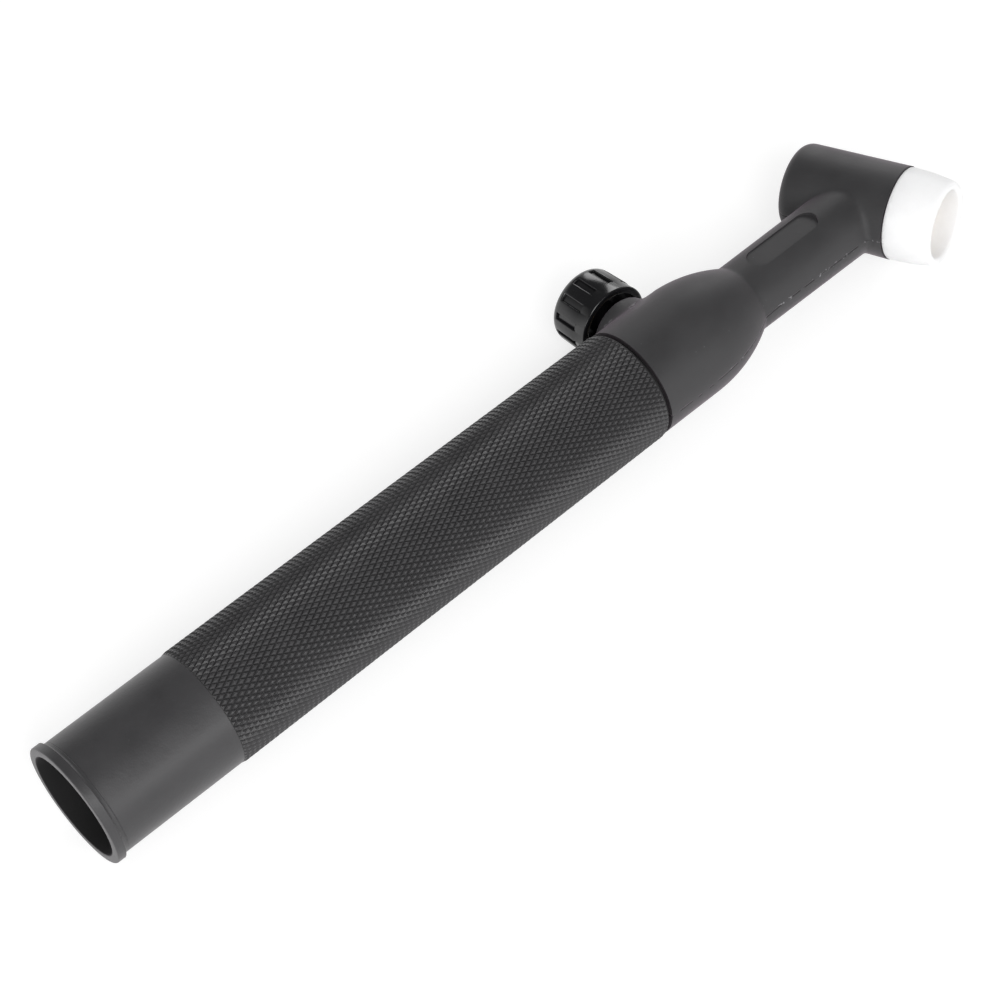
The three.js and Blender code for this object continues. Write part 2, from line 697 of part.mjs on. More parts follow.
addPiece(alongHandle, 'handle', NYLON, handle());
addPiece(torch, 'rubber_jacket', RUBBER, jacket());
addPiece(alongHead, 'head_barrel', BRASS, headBarrel());
addPiece(alongHandle, 'neck_tube', COPPER, tube(BLOCK_FRONT - TUBE_IN_SOCKET, neckTubeEnd()));
addPiece(alongValve, 'valve_block', BRASS, valveBlock());
addPiece(alongHandle, 'tail_tube', COPPER, tube(TAIL_TUBE_REAR, TAIL_TUBE_FRONT));
addPiece(alongHandle, 'cable_stud', BRASS, cableStud());
addPiece(alongHead, 'cup_gasket', PTFE, gasket());
addPiece(alongValve, 'valve_stem', BRASS, valveStem());
addPiece(alongValve, 'stem_ring_lower', SEAL, stemRing(0));
addPiece(alongValve, 'stem_ring_upper', SEAL, stemRing(1));
addPiece(alongValve, 'gland_washer', FIBRE, glandWasher());
addPiece(alongValve, 'gland_nut', BRASS, glandNut());
addPiece(alongValve, 'valve_knob', GLOSSY, valveKnob());
addPiece(alongValve, 'lock_washer', STEEL, lockWasher());
addPiece(alongValve, 'knob_screw', STEEL, knobScrew());
addPiece(alongValve, 'knob_cap', GLOSSY, knobCap());

// Laid on the bench, the torch rolls until the knob's round edge is as low as the handle's lip.
const edgeR = KNOB_LOBE_R - KNOB_TOP_R;
const reach = Math.hypot(KNOB_TOP_R, KNOB_ROUND_START);
const roll = Math.asin((LIP_R - edgeR) / reach) - Math.atan2(KNOB_TOP_R, KNOB_ROUND_START);
torch.rotation.x = -(Math.PI / 2 + roll);

// The origin is under the middle of the torch, on the bench.
const onBench = new THREE.Group();
onBench.name = 'tig_torch';
onBench.add(torch);
onBench.updateMatrixWorld(true);
const box = new THREE.Box3().setFromObject(onBench, true);
const middle = box.getCenter(new THREE.Vector3());
torch.position.set(-middle.x, -middle.y, -box.min.z);

export default onBench;
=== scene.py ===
import math

import bmesh
import bpy
from mathutils import Matrix, Vector


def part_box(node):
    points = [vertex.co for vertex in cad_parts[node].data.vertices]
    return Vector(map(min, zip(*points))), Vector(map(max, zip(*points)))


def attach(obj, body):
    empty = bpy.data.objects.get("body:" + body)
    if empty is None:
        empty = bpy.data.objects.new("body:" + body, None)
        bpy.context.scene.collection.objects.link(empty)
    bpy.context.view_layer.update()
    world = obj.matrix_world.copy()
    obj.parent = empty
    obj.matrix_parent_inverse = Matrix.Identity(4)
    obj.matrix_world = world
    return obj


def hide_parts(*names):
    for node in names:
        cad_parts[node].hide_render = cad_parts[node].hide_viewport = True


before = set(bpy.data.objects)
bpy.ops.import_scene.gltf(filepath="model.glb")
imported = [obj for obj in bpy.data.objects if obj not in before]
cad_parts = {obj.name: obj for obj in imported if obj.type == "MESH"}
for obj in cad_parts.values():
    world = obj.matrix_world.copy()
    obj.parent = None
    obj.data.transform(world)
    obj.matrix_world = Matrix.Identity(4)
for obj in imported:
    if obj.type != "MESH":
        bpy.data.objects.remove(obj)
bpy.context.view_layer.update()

bl_info = {
    "name": "TIG Torch Dressing",
    "version": (1, 0, 0),
    "blender": (4, 5, 0),
    "location": "View3D > Sidebar > Torch",
    "description": "Models and finishes the pieces of a bare TIG torch body on its packed frame",
    "category": "Object",
}

FULL_TURN = 2 * math.pi
HAIR = 2e-5  # how close a vertex lies to a ring that it is on
SAME = 1e-7  # how close two vertices lie that are one
BLUR = 0.0001  # over which a finish changes into the next
BEYOND = 0.002  # how far the jacket's skin runs past the faces that are cut flat
BENCH_CENTRE = (0, 0, 0.01)


# ---- Sizes and colours ----

def length(name, description, default):
    return bpy.props.FloatProperty(name=name, description=description, default=default, unit="LENGTH")


def colour(name, description, default):
    return bpy.props.FloatVectorProperty(
        name=name, description=description, default=default, size=3, min=0, max=1, subtype="COLOR"
    )


class TorchHandleSizes(bpy.types.PropertyGroup):
    """The nylon handle, measured along its axis from the rear rim."""

    length: length("Length", "From the rear rim to the front end", 0.1803)
    bore: length("Bore Radius", "Inside radius of the tube", 0.01425)
    smooth: length("Tail Radius", "Outside radius of the smooth tail", 0.01605)
    lip: length("Lip Radius", "Outside radius of the lip", 0.01687)
    lip_width: length("Lip Width", "Width of the lip's rim", 0.0023)
    lip_fillet: length("Lip Fillet", "Radius between lip and tail", 0.00085)
    line_place: length("Mould Line", "Place of the fine line behind the lip", 0.00365)
    knurl_start: length("Knurl Start", "Where the knurl begins", 0.0387)
    knurl_rear: length("Rear Tip Radius", "Radius over the diamonds at the rear", 0.01635)
    knurl_front: length("Front Tip Radius", "Radius over the diamonds at the front", 0.01595)
    knurl_depth: length("Knurl Depth", "From the grooves to the diamonds' flat tops", 0.0004)
    groove: length("Groove Half Width", "Half the flat floor between diamonds", 0.00002)
    slope: length("Diamond Slope", "Width of a diamond's side", 0.00045)
    front_chamfer: length("Front Chamfer", "Chamfer of the front end", 0.0004)
    round_count: bpy.props.IntProperty(name="Diamonds Round", description="Diamonds in one turn", default=65)
    row_count: bpy.props.IntProperty(name="Diamond Rows", description="Rows along the handle", default=46)


class TorchJacketSizes(bpy.types.PropertyGroup):
    """The rubber jacket, along the handle's axis, the head's axis and the valve's axis."""

    shoulder: length("Shoulder", "Place of the bulb's rear face", 0.18125)
    spigot_length: length("Spigot Length", "Length inside the handle", 0.024)
    spigot: length("Spigot Radius", "Outside radius inside the handle", 0.0142)
    spigot_bore: length("Spigot Bore", "Inside radius round the valve block", 0.0098)
    rib_pitch: length("Rib Pitch", "Distance between the spigot's ribs", 0.006)
    rib_depth: length("Rib Depth", "Depth of the grooves between ribs", 0.0005)
    bulb: length("Bulb Radius", "Radius of the bulb", 0.01565)
    bulb_length: length("Bulb Length", "Straight part of the bulb", 0.01875)
    dome_curve: length("Dome Radius", "Radius of the dome's curve", 0.0425)
    neck: length("Neck Radius", "Radius of the neck behind the recess", 0.01)
    neck_head: length("Neck Radius at Head", "Radius of the neck at the head", 0.01025)
    head_place: length("Head Place", "Where the head's axis crosses the handle's", 0.2698)
    head_angle: bpy.props.FloatProperty(
        name="Head Angle", description="Between the two axes", default=math.radians(71.65), subtype="ANGLE"
    )
    head_front: length("Head Front", "From the crossing to the nozzle face", 0.0100)
    head_rear: length("Head Rear", "From the crossing to the cap face", 0.0216)
    head_front_radius: length("Front Radius", "Radius at the nozzle face", 0.0129)
    head_rear_radius: length("Rear Radius", "Radius at the cap end", 0.0125)
    head_round: length("Head Edge", "Rounding of the cap end", 0.0034)
    cap_hole: length("Cap Hole", "Radius of the hole for the back cap", 0.0066)
    barrel_room: length("Barrel Room", "Radius round the brass barrel", 0.0083)
    barrel_rear: length("Barrel Rear", "Rear end of the barrel's room", 0.0176)
    tube_room: length("Tube Room", "Radius round the neck tube", 0.0041)
    valve_place: length("Valve Place", "Where the valve's axis crosses the handle's", 0.1937)
    boss: length("Boss Radius", "Radius of the valve's boss", 0.0093)
    boss_top: length("Boss Top", "Height of the boss over the handle's axis", 0.0174)
    tower_room: length("Tower Room", "Radius round the valve's tower", 0.0073)
    block_front: length("Block Room", "Front end of the valve block's room", 0.2046)
    recess_start: length("Recess Start", "Rear end of the neck's recess", 0.2263)
    recess_length: length("Recess Length", "Length of the neck's recess", 0.0241)
    recess_half_width: length("Recess Half Width", "Half the recess's width", 0.00355)
    recess_depth: length("Recess Depth", "Depth under the neck's crest", 0.0009)
    voxel: length("Voxel", "Cell of the moulded skin", 0.0004)
    boss_blend: length("Boss Blend", "Reach of the soft corner round the boss", 0.0045)
    neck_blend: length("Neck Blend", "Reach of the crisper corner between neck and head", 0.0015)


class TorchKnobSizes(bpy.types.PropertyGroup):
    """The valve's knob, along the valve's axis from the handle's."""

    rim: length("Rim", "Height of the open rim", 0.0196)
    top: length("Top", "Height of the outer end", 0.0326)
    rim_radius: length("Rim Radius", "Radius of the flared rim", 0.0109)
    waist: length("Waist Radius", "Radius of the skirt where the lobes end", 0.01066)
    slot_floor: length("Slot Floor", "Radius of the slots' floors", 0.01)
    lobe: length("Lobe Radius", "Radius over the lobes at the skirt", 0.0109)
    lobe_end: length("Lobe End Radius", "Radius over the lobes at the outer end", 0.01075)
    lobe_start: length("Lobe Start", "Height where the lobes begin", 0.0234)
    lobe_slope: length("Lobe Slope", "Length of the slope at the lobes' lower ends", 0.0004)
    slot_end: length("Slot End", "Height where the slots end", 0.0306)
    lobe_edge: length("Lobe Edge", "Bevel of the lobes' edges", 0.00034)
    top_radius: length("Top Radius", "Radius of the flat outer end", 0.0092)
    round_start: length("Round Start", "Height where the outer edge's rounding begins", 0.0302)
    skirt_bore: length("Skirt Bore", "Inside radius of the skirt", 0.009)
    hub: length("Hub Radius", "Radius of the hub", 0.0046)
    hub_start: length("Hub Start", "Height of the hub's lower end", 0.0187)
    stem_bore: length("Stem Bore", "Radius of the stem's hole", 0.00205)
    web: length("Web", "Height of the web under the top", 0.0254)
    seat: length("Screw Seat", "Height of the screw's seat", 0.0281)
    well: length("Well Radius", "Radius of the screw's well", 0.0032)
    cap: length("Cap Radius", "Radius of the pressed-in cap", 0.007)
    cap_floor: length("Cap Floor", "Height under the cap", 0.0313)
    lobes: bpy.props.IntProperty(name="Lobes", description="Lobes in one turn", default=12)
    phase: bpy.props.FloatProperty(
        name="Phase", description="Turn of the lobes", default=math.radians(15.5), subtype="ANGLE"
    )


class TorchGasketSizes(bpy.types.PropertyGroup):
    """The cup gasket, along the head's axis from the crossing."""

    rear: length("Rear", "Rear face", 0.0103)
    front: length("Front", "Front face", 0.0234)
    floor: length("Floor", "Floor of the cup", 0.015)
    rear_radius: length("Rear Radius", "Outside radius at the rear", 0.0127)
    front_radius: length("Front Radius", "Outside radius at the front", 0.0115)
    taper: bpy.props.FloatProperty(name="Taper", description="How late the outside curves in", default=2.2)
    mouth: length("Mouth Radius", "Inside radius of the cup", 0.0093)
    bore: length("Bore Radius", "Radius round the barrel", 0.00825)
    edge: length("Edge", "Rounding of its front edges", 0.0009)


class TorchFinishes(bpy.types.PropertyGroup):
    """The colours of the finishes."""

    nylon: colour("Nylon", "The handle", (0.042, 0.041, 0.043))
    rubber: colour("Rubber", "The jacket", (0.033, 0.0325, 0.034))
    gloss: colour("Knob", "The knob's glossy plastic", (0.008, 0.008, 0.009))
    ptfe: colour("Gasket", "The white gasket", (0.965, 0.967, 0.980))
    brass: colour("Brass", "Turned brass", (0.62, 0.42, 0.16))
    copper: colour("Copper", "Drawn copper", (0.60, 0.27, 0.15))
    zinc: colour("Steel", "Zinc-plated steel", (0.55, 0.56, 0.58))
    seal: colour("Seal", "The stem's rings", (0.012, 0.012, 0.013))
    fibre: colour("Fibre", "The gland's washer", (0.70, 0.66, 0.58))
    floor: colour("Floor", "The studio's floor", (0.90, 0.90, 0.90))
    bloom_tint: colour("Bloom Tint", "The tint of the bloom on nylon and rubber", (1.0, 0.76, 0.94))
    bloom: bpy.props.FloatProperty(
        name="Bloom", description="Strength of the bloom on nylon and rubber", default=0.07
    )


class TorchStage(bpy.types.PropertyGroup):
    """The camera and the studio."""

    camera_place: bpy.props.FloatVectorProperty(
        name="Camera Place", description="Where the camera stands", default=(-0.265824, -0.300713, 0.594582),
        size=3, subtype="TRANSLATION",
    )
    camera_turn: bpy.props.FloatVectorProperty(
        name="Camera Turn", description="How the camera is turned", size=3, subtype="EULER",
        default=(math.radians(33.94874561), math.radians(0.93772087), math.radians(-42.21088928)),
    )
    lens: bpy.props.FloatProperty(name="Lens", description="Focal length in millimetres", default=100.2925)
    sky: bpy.props.FloatProperty(
        name="Sky", description="Strength of the soft light from all round", default=0.48
    )
    zenith: bpy.props.FloatProperty(
        name="Zenith", description="How bright glossy finishes see the ceiling", default=0.1
    )
    lamp_distance: length("Lamp Distance", "From the bench's centre to each soft box", 1.15)
    lamp_width: length("Lamp Width", "Side of each square soft box", 0.5)


SETTINGS = {
    "torch_handle": TorchHandleSizes,
    "torch_jacket": TorchJacketSizes,
    "torch_knob": TorchKnobSizes,
    "torch_gasket": TorchGasketSizes,
    "torch_finishes": TorchFinishes,
    "torch_stage": TorchStage,
}


# ---- Where things are ----

def torch_place():
    """To the bench from the torch's frame, on the handle's rear rim, X to the head and Z to the knob."""
    low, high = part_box("handle")
    roll = math.radians(11.673066)  # lying on the handle's lip and the knob's edge
    origin = Vector((low.x, (low.y + high.y) / 2, (low.z + high.z) / 2))
    return Matrix.Translation(origin) @ Matrix.Rotation(-(math.pi / 2 + roll), 4, "X")


def along_handle():
    """From a frame with the handle's axis as Z to the torch's frame."""
    return Matrix.Rotation(math.pi / 2, 4, "Y")


def along_head(jacket):
    """From a frame with the head's axis as Z, towards the nozzle, to the torch's frame."""
    place = Matrix.Translation((jacket.head_place, 0, 0))
    return place @ Matrix.Rotation(math.pi / 2 + jacket.head_angle, 4, "Y")


def along_valve(jacket):
    """From a frame with the valve's axis as Z to the torch's frame."""
    return Matrix.Translation((jacket.valve_place, 0, 0))


# ---- Modelling ----

def spin_round(bm, geom, steps):
    """Spins vertices and edges once round the local Z axis."""
    bmesh.ops.spin(
        bm, geom=geom, cent=(0, 0, 0), axis=(0, 0, 1), dvec=(0, 0, 0),
        angle=FULL_TURN, steps=steps, use_merge=True, use_duplicate=False,
    )


def lathe(bm, outline, steps, closed=True):
    """Turns an outline of (along, radius) points once round the local Z axis."""
    verts = [bm.verts.new((radius, 0, along)) for along, radius in outline]
    pairs = list(zip(verts, verts[1:]))
    if closed:
        pairs.append((verts[-1], verts[0]))
    edges = [bm.edges.new(pair) for pair in pairs]
    spin_round(bm, verts + edges, steps)
    bmesh.ops.remove_doubles(bm, verts=bm.verts, dist=SAME)


def turned(outline, steps):
    """A closed turned solid in a new bmesh."""
    bm = bmesh.new()
    lathe(bm, outline, steps)
    bmesh.ops.recalc_face_normals(bm, faces=bm.faces)
    return bm


def ring(bm, along, radius):
    """The edges that lie on the circle of this height and radius."""
    def lies_on(vert):
        return abs(vert.co.z - along) < HAIR and abs(math.hypot(vert.co.x, vert.co.y) - radius) < HAIR

    found = [edge for edge in bm.edges if all(lies_on(vert) for vert in edge.verts)]
    if not found:
        raise RuntimeError(f"there is no ring at {along:.5f} with radius {radius:.5f}")
    return found


def round_ring(bm, along, radius, offset, segments=3):
    round_edges(bm, ring(bm, along, radius), offset, segments)


def round_edges(bm, edges, offset, segments=3):
    bmesh.ops.bevel(
        bm, geom=edges, offset=offset, offset_type="OFFSET", segments=segments,
        profile=0.5, affect="EDGES", material=-1, clamp_overlap=True,
    )


def arc(centre_along, centre_radius, radius, start, end, steps):
    """Points (along, radius) on an arc, from a start to an end angle."""
    points = []
    for i in range(steps + 1):
        angle = start + (end - start) * i / steps
        points.append((centre_along + radius * math.cos(angle), centre_radius + radius * math.sin(angle)))
    return points


def to_mesh(bm, name):
    mesh = bpy.data.meshes.new(name)
    bm.to_mesh(mesh)
    bm.free()
    return mesh


def turned_on(place, outline, steps):
    """The mesh of a closed turned solid, with its Z axis led to its place by a matrix."""
    bm = turned(outline, steps)
    bmesh.ops.transform(bm, matrix=place, verts=bm.verts)
    return to_mesh(bm, "turned")


def new_object(mesh, name):
    obj = bpy.data.objects.new(name, mesh)
    bpy.context.scene.collection.objects.link(obj)
    return obj


def discard(obj):
    mesh = obj.data
    bpy.data.objects.remove(obj)
    bpy.data.meshes.remove(mesh)


def with_modifiers(obj):
    """The object's mesh as its modifiers leave it."""
    bpy.context.view_layer.update()
    depsgraph = bpy.context.evaluated_depsgraph_get()
    return bpy.data.meshes.new_from_object(obj.evaluated_get(depsgraph), depsgraph=depsgraph)


def combined(first, operation, *others):
    """One mesh from several: joined, or the others cut out of the first."""
    body = new_object(first, "combining")
    helpers = []
    for mesh in others:
        helper = new_object(mesh, "combining_with")
        helpers.append(helper)
        step = body.modifiers.new("step", "BOOLEAN")
        step.object = helper
        step.operation = operation
        step.solver = "MANIFOLD"
    result = with_modifiers(body)
    for obj in [body, *helpers]:
        discard(obj)
    return result


def finish_piece(mesh, name, material, body, replaces, sharp=35):
    """Makes the mesh a piece of the torch that rides on a body and stands for its CAD nodes."""
    mesh.name = name
    mesh.shade_smooth()
    mesh.set_sharp_from_angle(angle=math.radians(sharp))
    mesh.materials.clear()
    mesh.materials.append(material)
    piece = new_object(mesh, name)
    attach(piece, body)
    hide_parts(*replaces)


# ---- Finishes ----

def add_node(tree, kind, **inputs):
    """A new node with some of its inputs set."""
    node = tree.nodes.new(kind)
    for name, value in inputs.items():
        node.inputs[name].default_value = value
    return node


def connect(tree, value, socket):
    """Feeds a socket from another socket or a number."""
    if isinstance(value, bpy.types.NodeSocket):
        tree.links.new(value, socket)
    else:
        socket.default_value = value


def math_node(tree, operation, *values, clamp=False):
    """A Math node; each value is a socket or a number."""
    node = tree.nodes.new("ShaderNodeMath")
    node.operation = operation
    node.use_clamp = clamp
    for socket, value in zip(node.inputs, values):
        connect(tree, value, socket)
    return node.outputs[0]


def multiply(tree, first, *others):
    """The product of sockets and numbers."""
    for value in others:
        first = math_node(tree, "MULTIPLY", first, value)
    return first


def gap(tree, first, second):
    """How far apart two numbers are."""
    return math_node(tree, "ABSOLUTE", math_node(tree, "SUBTRACT", first, second))


def spread(tree, value, low, high, to_low=0.0, to_high=1.0):
    """Spreads a value's range over another one, and keeps it within that."""
    node = tree.nodes.new("ShaderNodeMapRange")
    for name, number in (("From Min", low), ("From Max", high), ("To Min", to_low), ("To Max", to_high)):
        connect(tree, number, node.inputs[name])
    tree.links.new(value, node.inputs["Value"])
    return node.outputs["Result"]


def between(tree, mask, low, high):
    """From low to high as the mask goes from 0 to 1."""
    return spread(tree, mask, 0.0, 1.0, low, high)


def blend_colours(tree, factor, first, second):
    """The first colour where the factor is 0, and the second where it is 1."""
    node = tree.nodes.new("ShaderNodeMix")
    node.data_type = "RGBA"
    # a Mix node has sockets for each kind of data: 6, 7 and output 2 are those for colours
    connect(tree, factor, node.inputs[0])
    connect(tree, first, node.inputs[6])
    connect(tree, second, node.inputs[7])
    return node.outputs[2]


def tint(colour_value, factor):
    """A colour times a factor, with its alpha."""
    return (*[min(1.0, channel * factor) for channel in colour_value], 1.0)


def mottled(tree, mask, colour_value, low, high):
    """A colour times low where the mask is 0, and times high where it is 1."""
    return blend_colours(tree, mask, tint(colour_value, low), tint(colour_value, high))


def laid_over(tree, base, mask, colour_value, factor, strength=1.0):
    """The base with a paler or darker tint of a colour laid over it where the mask is 1."""
    return blend_colours(tree, multiply(tree, mask, strength), base, tint(colour_value, factor))


def noise(tree, place, scale, detail=3.0, roughness=0.5):
    """Soft noise; the scale is a socket or a number."""
    node = add_node(tree, "ShaderNodeTexNoise", Detail=detail, Roughness=roughness)
    tree.links.new(place, node.inputs["Vector"])
    connect(tree, scale, node.inputs["Scale"])
    return node.outputs["Fac"]


def parts_of(tree, place):
    """The X, Y and Z of a place."""
    node = tree.nodes.new("ShaderNodeSeparateXYZ")
    tree.links.new(place, node.inputs[0])
    return node.outputs


def stretched(tree, place, factors):
    """A place whose X, Y and Z are multiplied by three factors."""
    node = tree.nodes.new("ShaderNodeVectorMath")
    node.operation = "MULTIPLY"
    tree.links.new(place, node.inputs[0])
    node.inputs[1].default_value = factors
    return node.outputs[0]


def distance_from_axis(tree, place):
    """How far a place lies from its frame's Z axis."""
    reach = tree.nodes.new("ShaderNodeVectorMath")
    reach.operation = "LENGTH"
    tree.links.new(stretched(tree, place, (1, 1, 0)), reach.inputs[0])
    return reach.outputs["Value"]


def place_on(tree, frame_matrix=None):
    """Object coordinates, seen from the frame that the matrix leads from."""
    coordinate = tree.nodes.new("ShaderNodeTexCoord").outputs["Object"]
    if frame_matrix is None:
        return coordinate
    inverse = frame_matrix.inverted()
    mapping = tree.nodes.new("ShaderNodeMapping")
    mapping.vector_type = "POINT"
    mapping.inputs["Location"].default_value = inverse.to_translation()
    mapping.inputs["Rotation"].default_value = inverse.to_euler()
    tree.links.new(coordinate, mapping.inputs["Vector"])
    return mapping.outputs["Vector"]


def new_group(name, inputs, outputs):
    """An empty node group with named inputs and outputs."""
    group = bpy.data.node_groups.new(name, "ShaderNodeTree")
    for label, kind, default in inputs:
        socket = group.interface.new_socket(label, in_out="INPUT", socket_type=kind)
        if default is not None:
            socket.default_value = default
    for label, kind in outputs:
        group.interface.new_socket(label, in_out="OUTPUT", socket_type=kind)
    return group, group.nodes.new("NodeGroupInput").outputs, group.nodes.new("NodeGroupOutput").inputs


def moulded_grain_group():
    """The fine grain of a mould's skin, with faint cloudy patches and rare pale specks."""
    group, given, out = new_group(
        "Moulded Grain",
        [("Place", "NodeSocketVector", None), ("Scale", "NodeSocketFloat", 4000.0)],
        [("Height", "NodeSocketFloat"), ("Patches", "NodeSocketFloat"), ("Specks", "NodeSocketFloat")],
    )
    place = given["Place"]
    fine = noise(group, place, given["Scale"], detail=2.0, roughness=0.6)
    coarse = noise(group, place, scale=900.0, detail=2.0)
    group.links.new(math_node(group, "ADD", fine, coarse), out["Height"])
    cloud = noise(group, place, scale=90.0, detail=4.0, roughness=0.6)
    group.links.new(spread(group, cloud, 0.35, 0.65), out["Patches"])
    cells = add_node(group, "ShaderNodeTexVoronoi", Scale=420.0)
    group.links.new(place, cells.inputs["Vector"])
    near = spread(group, cells.outputs["Distance"], 0.05, 0.09, 1.0, 0.0)
    rare = spread(group, noise(group, place, scale=160.0, detail=1.0), 0.60, 0.66)
    group.links.new(multiply(group, near, rare), out["Specks"])
    return group


def tool_lines_group():
    """Fine rings left by a turning tool round the local Z axis, and soft tarnish."""
    group, given, out = new_group(
        "Tool Lines",
        [("Place", "NodeSocketVector", None), ("Pitch", "NodeSocketFloat", 5000.0)],
        [("Height", "NodeSocketFloat"), ("Tarnish", "NodeSocketFloat")],
    )
    across = 0.02  # the noise is drawn out across the axis, into rings
    rings = stretched(group, given["Place"], (across, across, 1.0))
    group.links.new(noise(group, rings, given["Pitch"], detail=2.0, roughness=0.7), out["Height"])
    cloud = noise(group, given["Place"], scale=260.0, detail=5.0, roughness=0.65)
    group.links.new(spread(group, cloud, 0.42, 0.70), out["Tarnish"])
    return group


def grain_group():
    """The mould's grain, built once."""
    return bpy.data.node_groups.get("Moulded Grain") or moulded_grain_group()


def lines_group():
    """The tool's lines, built once."""
    return bpy.data.node_groups.get("Tool Lines") or tool_lines_group()


def use_group(tree, group, place, **values):
    """Places a node group in a material, with its own values."""
    node = tree.nodes.new("ShaderNodeGroup")
    node.node_tree = group
    tree.links.new(place, node.inputs["Place"])
    for name, value in values.items():
        node.inputs[name].default_value = value
    return node.outputs


def new_material(name, metallic=0.0, specular=0.5):
    """A new material, its node tree and its shader."""
    material = bpy.data.materials.new(name)
    material.use_nodes = True
    tree = material.node_tree
    shader = tree.nodes["Principled BSDF"]
    shader.inputs["Metallic"].default_value = metallic
    shader.inputs["Specular IOR Level"].default_value = specular
    return material, tree, shader


def set_sheen(shader, finishes, strength):
    """The faint lilac bloom that black rubber and nylon show at their edges."""
    shader.inputs["Sheen Weight"].default_value = strength * finishes.bloom
    shader.inputs["Sheen Roughness"].default_value = 0.35
    shader.inputs["Sheen Tint"].default_value = (*finishes.bloom_tint, 1.0)


def paint(tree, shader, base, roughness):
    """Gives a shader its colour and its roughness."""
    tree.links.new(base, shader.inputs["Base Color"])
    tree.links.new(roughness, shader.inputs["Roughness"])


def bump(tree, shader, height, distance, strength):
    """Gives a shader's surface small heights, in units of the distance."""
    node = add_node(tree, "ShaderNodeBump", Strength=strength, Distance=distance)
    tree.links.new(height, node.inputs["Height"])
    tree.links.new(node.outputs["Normal"], shader.inputs["Normal"])


def knurl_groove_shade(tree, place, from_axis, handle):
    """Painted shade for the knurl: 1 in its grooves, falling to 0 on its diamonds."""
    along = parts_of(tree, place)["Z"]
    tips = spread(tree, along, handle.knurl_start, handle.length, handle.knurl_rear, handle.knurl_front)
    under_tips = math_node(tree, "SUBTRACT", tips, from_axis)
    deep = spread(tree, under_tips, 0.5 * handle.knurl_depth, handle.knurl_depth)
    on_knurl = spread(tree, along, handle.knurl_start, handle.knurl_start + BLUR)
    return multiply(tree, deep, on_knurl)


def nylon_material(finishes, grain, handle):
    """The handle's nylon: satin, with fine grain, and painted shade in the knurl's grooves and in the bore.
    """
    material, tree, shader = new_material("handle_nylon", specular=0.42)
    set_sheen(shader, finishes, strength=0.4)
    place = place_on(tree, torch_place() @ along_handle())
    skin = use_group(tree, grain, place, Scale=2600.0)
    from_axis = distance_from_axis(tree, place)
    inside = spread(tree, from_axis, handle.bore + BLUR, handle.bore + 4 * BLUR, 1.0, 0.0)
    grooves = knurl_groove_shade(tree, place, from_axis, handle)
    base = mottled(tree, skin["Patches"], finishes.nylon, 0.93, 1.10)
    base = laid_over(tree, base, skin["Specks"], finishes.nylon, factor=4.0, strength=0.35)
    # painted shade: the knurl's grooves darkened where the diamonds hide them from the light
    base = laid_over(tree, base, grooves, finishes.nylon, factor=0.15, strength=0.7)
    # painted shade: the bore darkened, as the tube's walls keep the light out
    base = laid_over(tree, base, inside, finishes.nylon, factor=0.18)
    satin = between(tree, skin["Patches"], 0.37, 0.43)
    duller_inside = multiply(tree, inside, 0.45)
    paint(tree, shader, base, math_node(tree, "ADD", satin, duller_inside, clamp=True))
    bump(tree, shader, skin["Height"], distance=0.00004, strength=0.8)
    return material


def off_mould_line(tree, place, jacket):
    """How far a place lies from the line along the jacket's side where the mould's halves met."""
    side_at_bulb = 0.0020
    side_at_neck = -0.0004
    parts = parts_of(tree, place)
    side = spread(tree, parts["X"], jacket.valve_place, jacket.recess_start, side_at_bulb, side_at_neck)
    return gap(tree, parts["Y"], side)


def mould_line(tree, place, off_line, jacket):
    """1 on the dashes of the mould's line, which fade out before the head."""
    half_width = 0.00018
    faded = 0.00034
    recess_end = jacket.recess_start + jacket.recess_length
    fade_start = recess_end + 0.006
    fade_end = recess_end + 0.010
    line = spread(tree, off_line, half_width, faded, 1.0, 0.0)
    dashes = spread(tree, noise(tree, place, scale=330.0, detail=2.0), 0.43, 0.50)
    before_head = spread(tree, parts_of(tree, place)["X"], fade_start, fade_end, 1.0, 0.0)
    return multiply(tree, line, dashes, before_head)


def flash_flecks(tree, place, off_line, jacket):
    """Up to 0.8 on small flecks of flash beside the mould's line and at the foot of the boss."""
    foot = 0.0108  # radius of the boss's foot
    line_reach = (0.0002, 0.0007)  # flecks start to thin out, and end
    foot_reach = (0.0006, 0.0012)
    rise = 0.002  # over which the valve's side of the torch begins
    near_line = spread(tree, off_line, *line_reach, 1.0, 0.0)
    from_valve = distance_from_axis(tree, place_on(tree, torch_place() @ along_valve(jacket)))
    near_foot = spread(tree, gap(tree, from_valve, foot), *foot_reach, 1.0, 0.0)
    valve_side = spread(tree, parts_of(tree, place)["Z"], 0.0, rise)
    zone = math_node(tree, "MAXIMUM", near_line, multiply(tree, near_foot, valve_side))
    spots = spread(tree, noise(tree, place, scale=1000.0, detail=1.0), 0.58, 0.62, 0.0, 0.8)
    patches = spread(tree, noise(tree, place, scale=240.0, detail=1.0), 0.46, 0.52)
    return multiply(tree, zone, spots, patches)


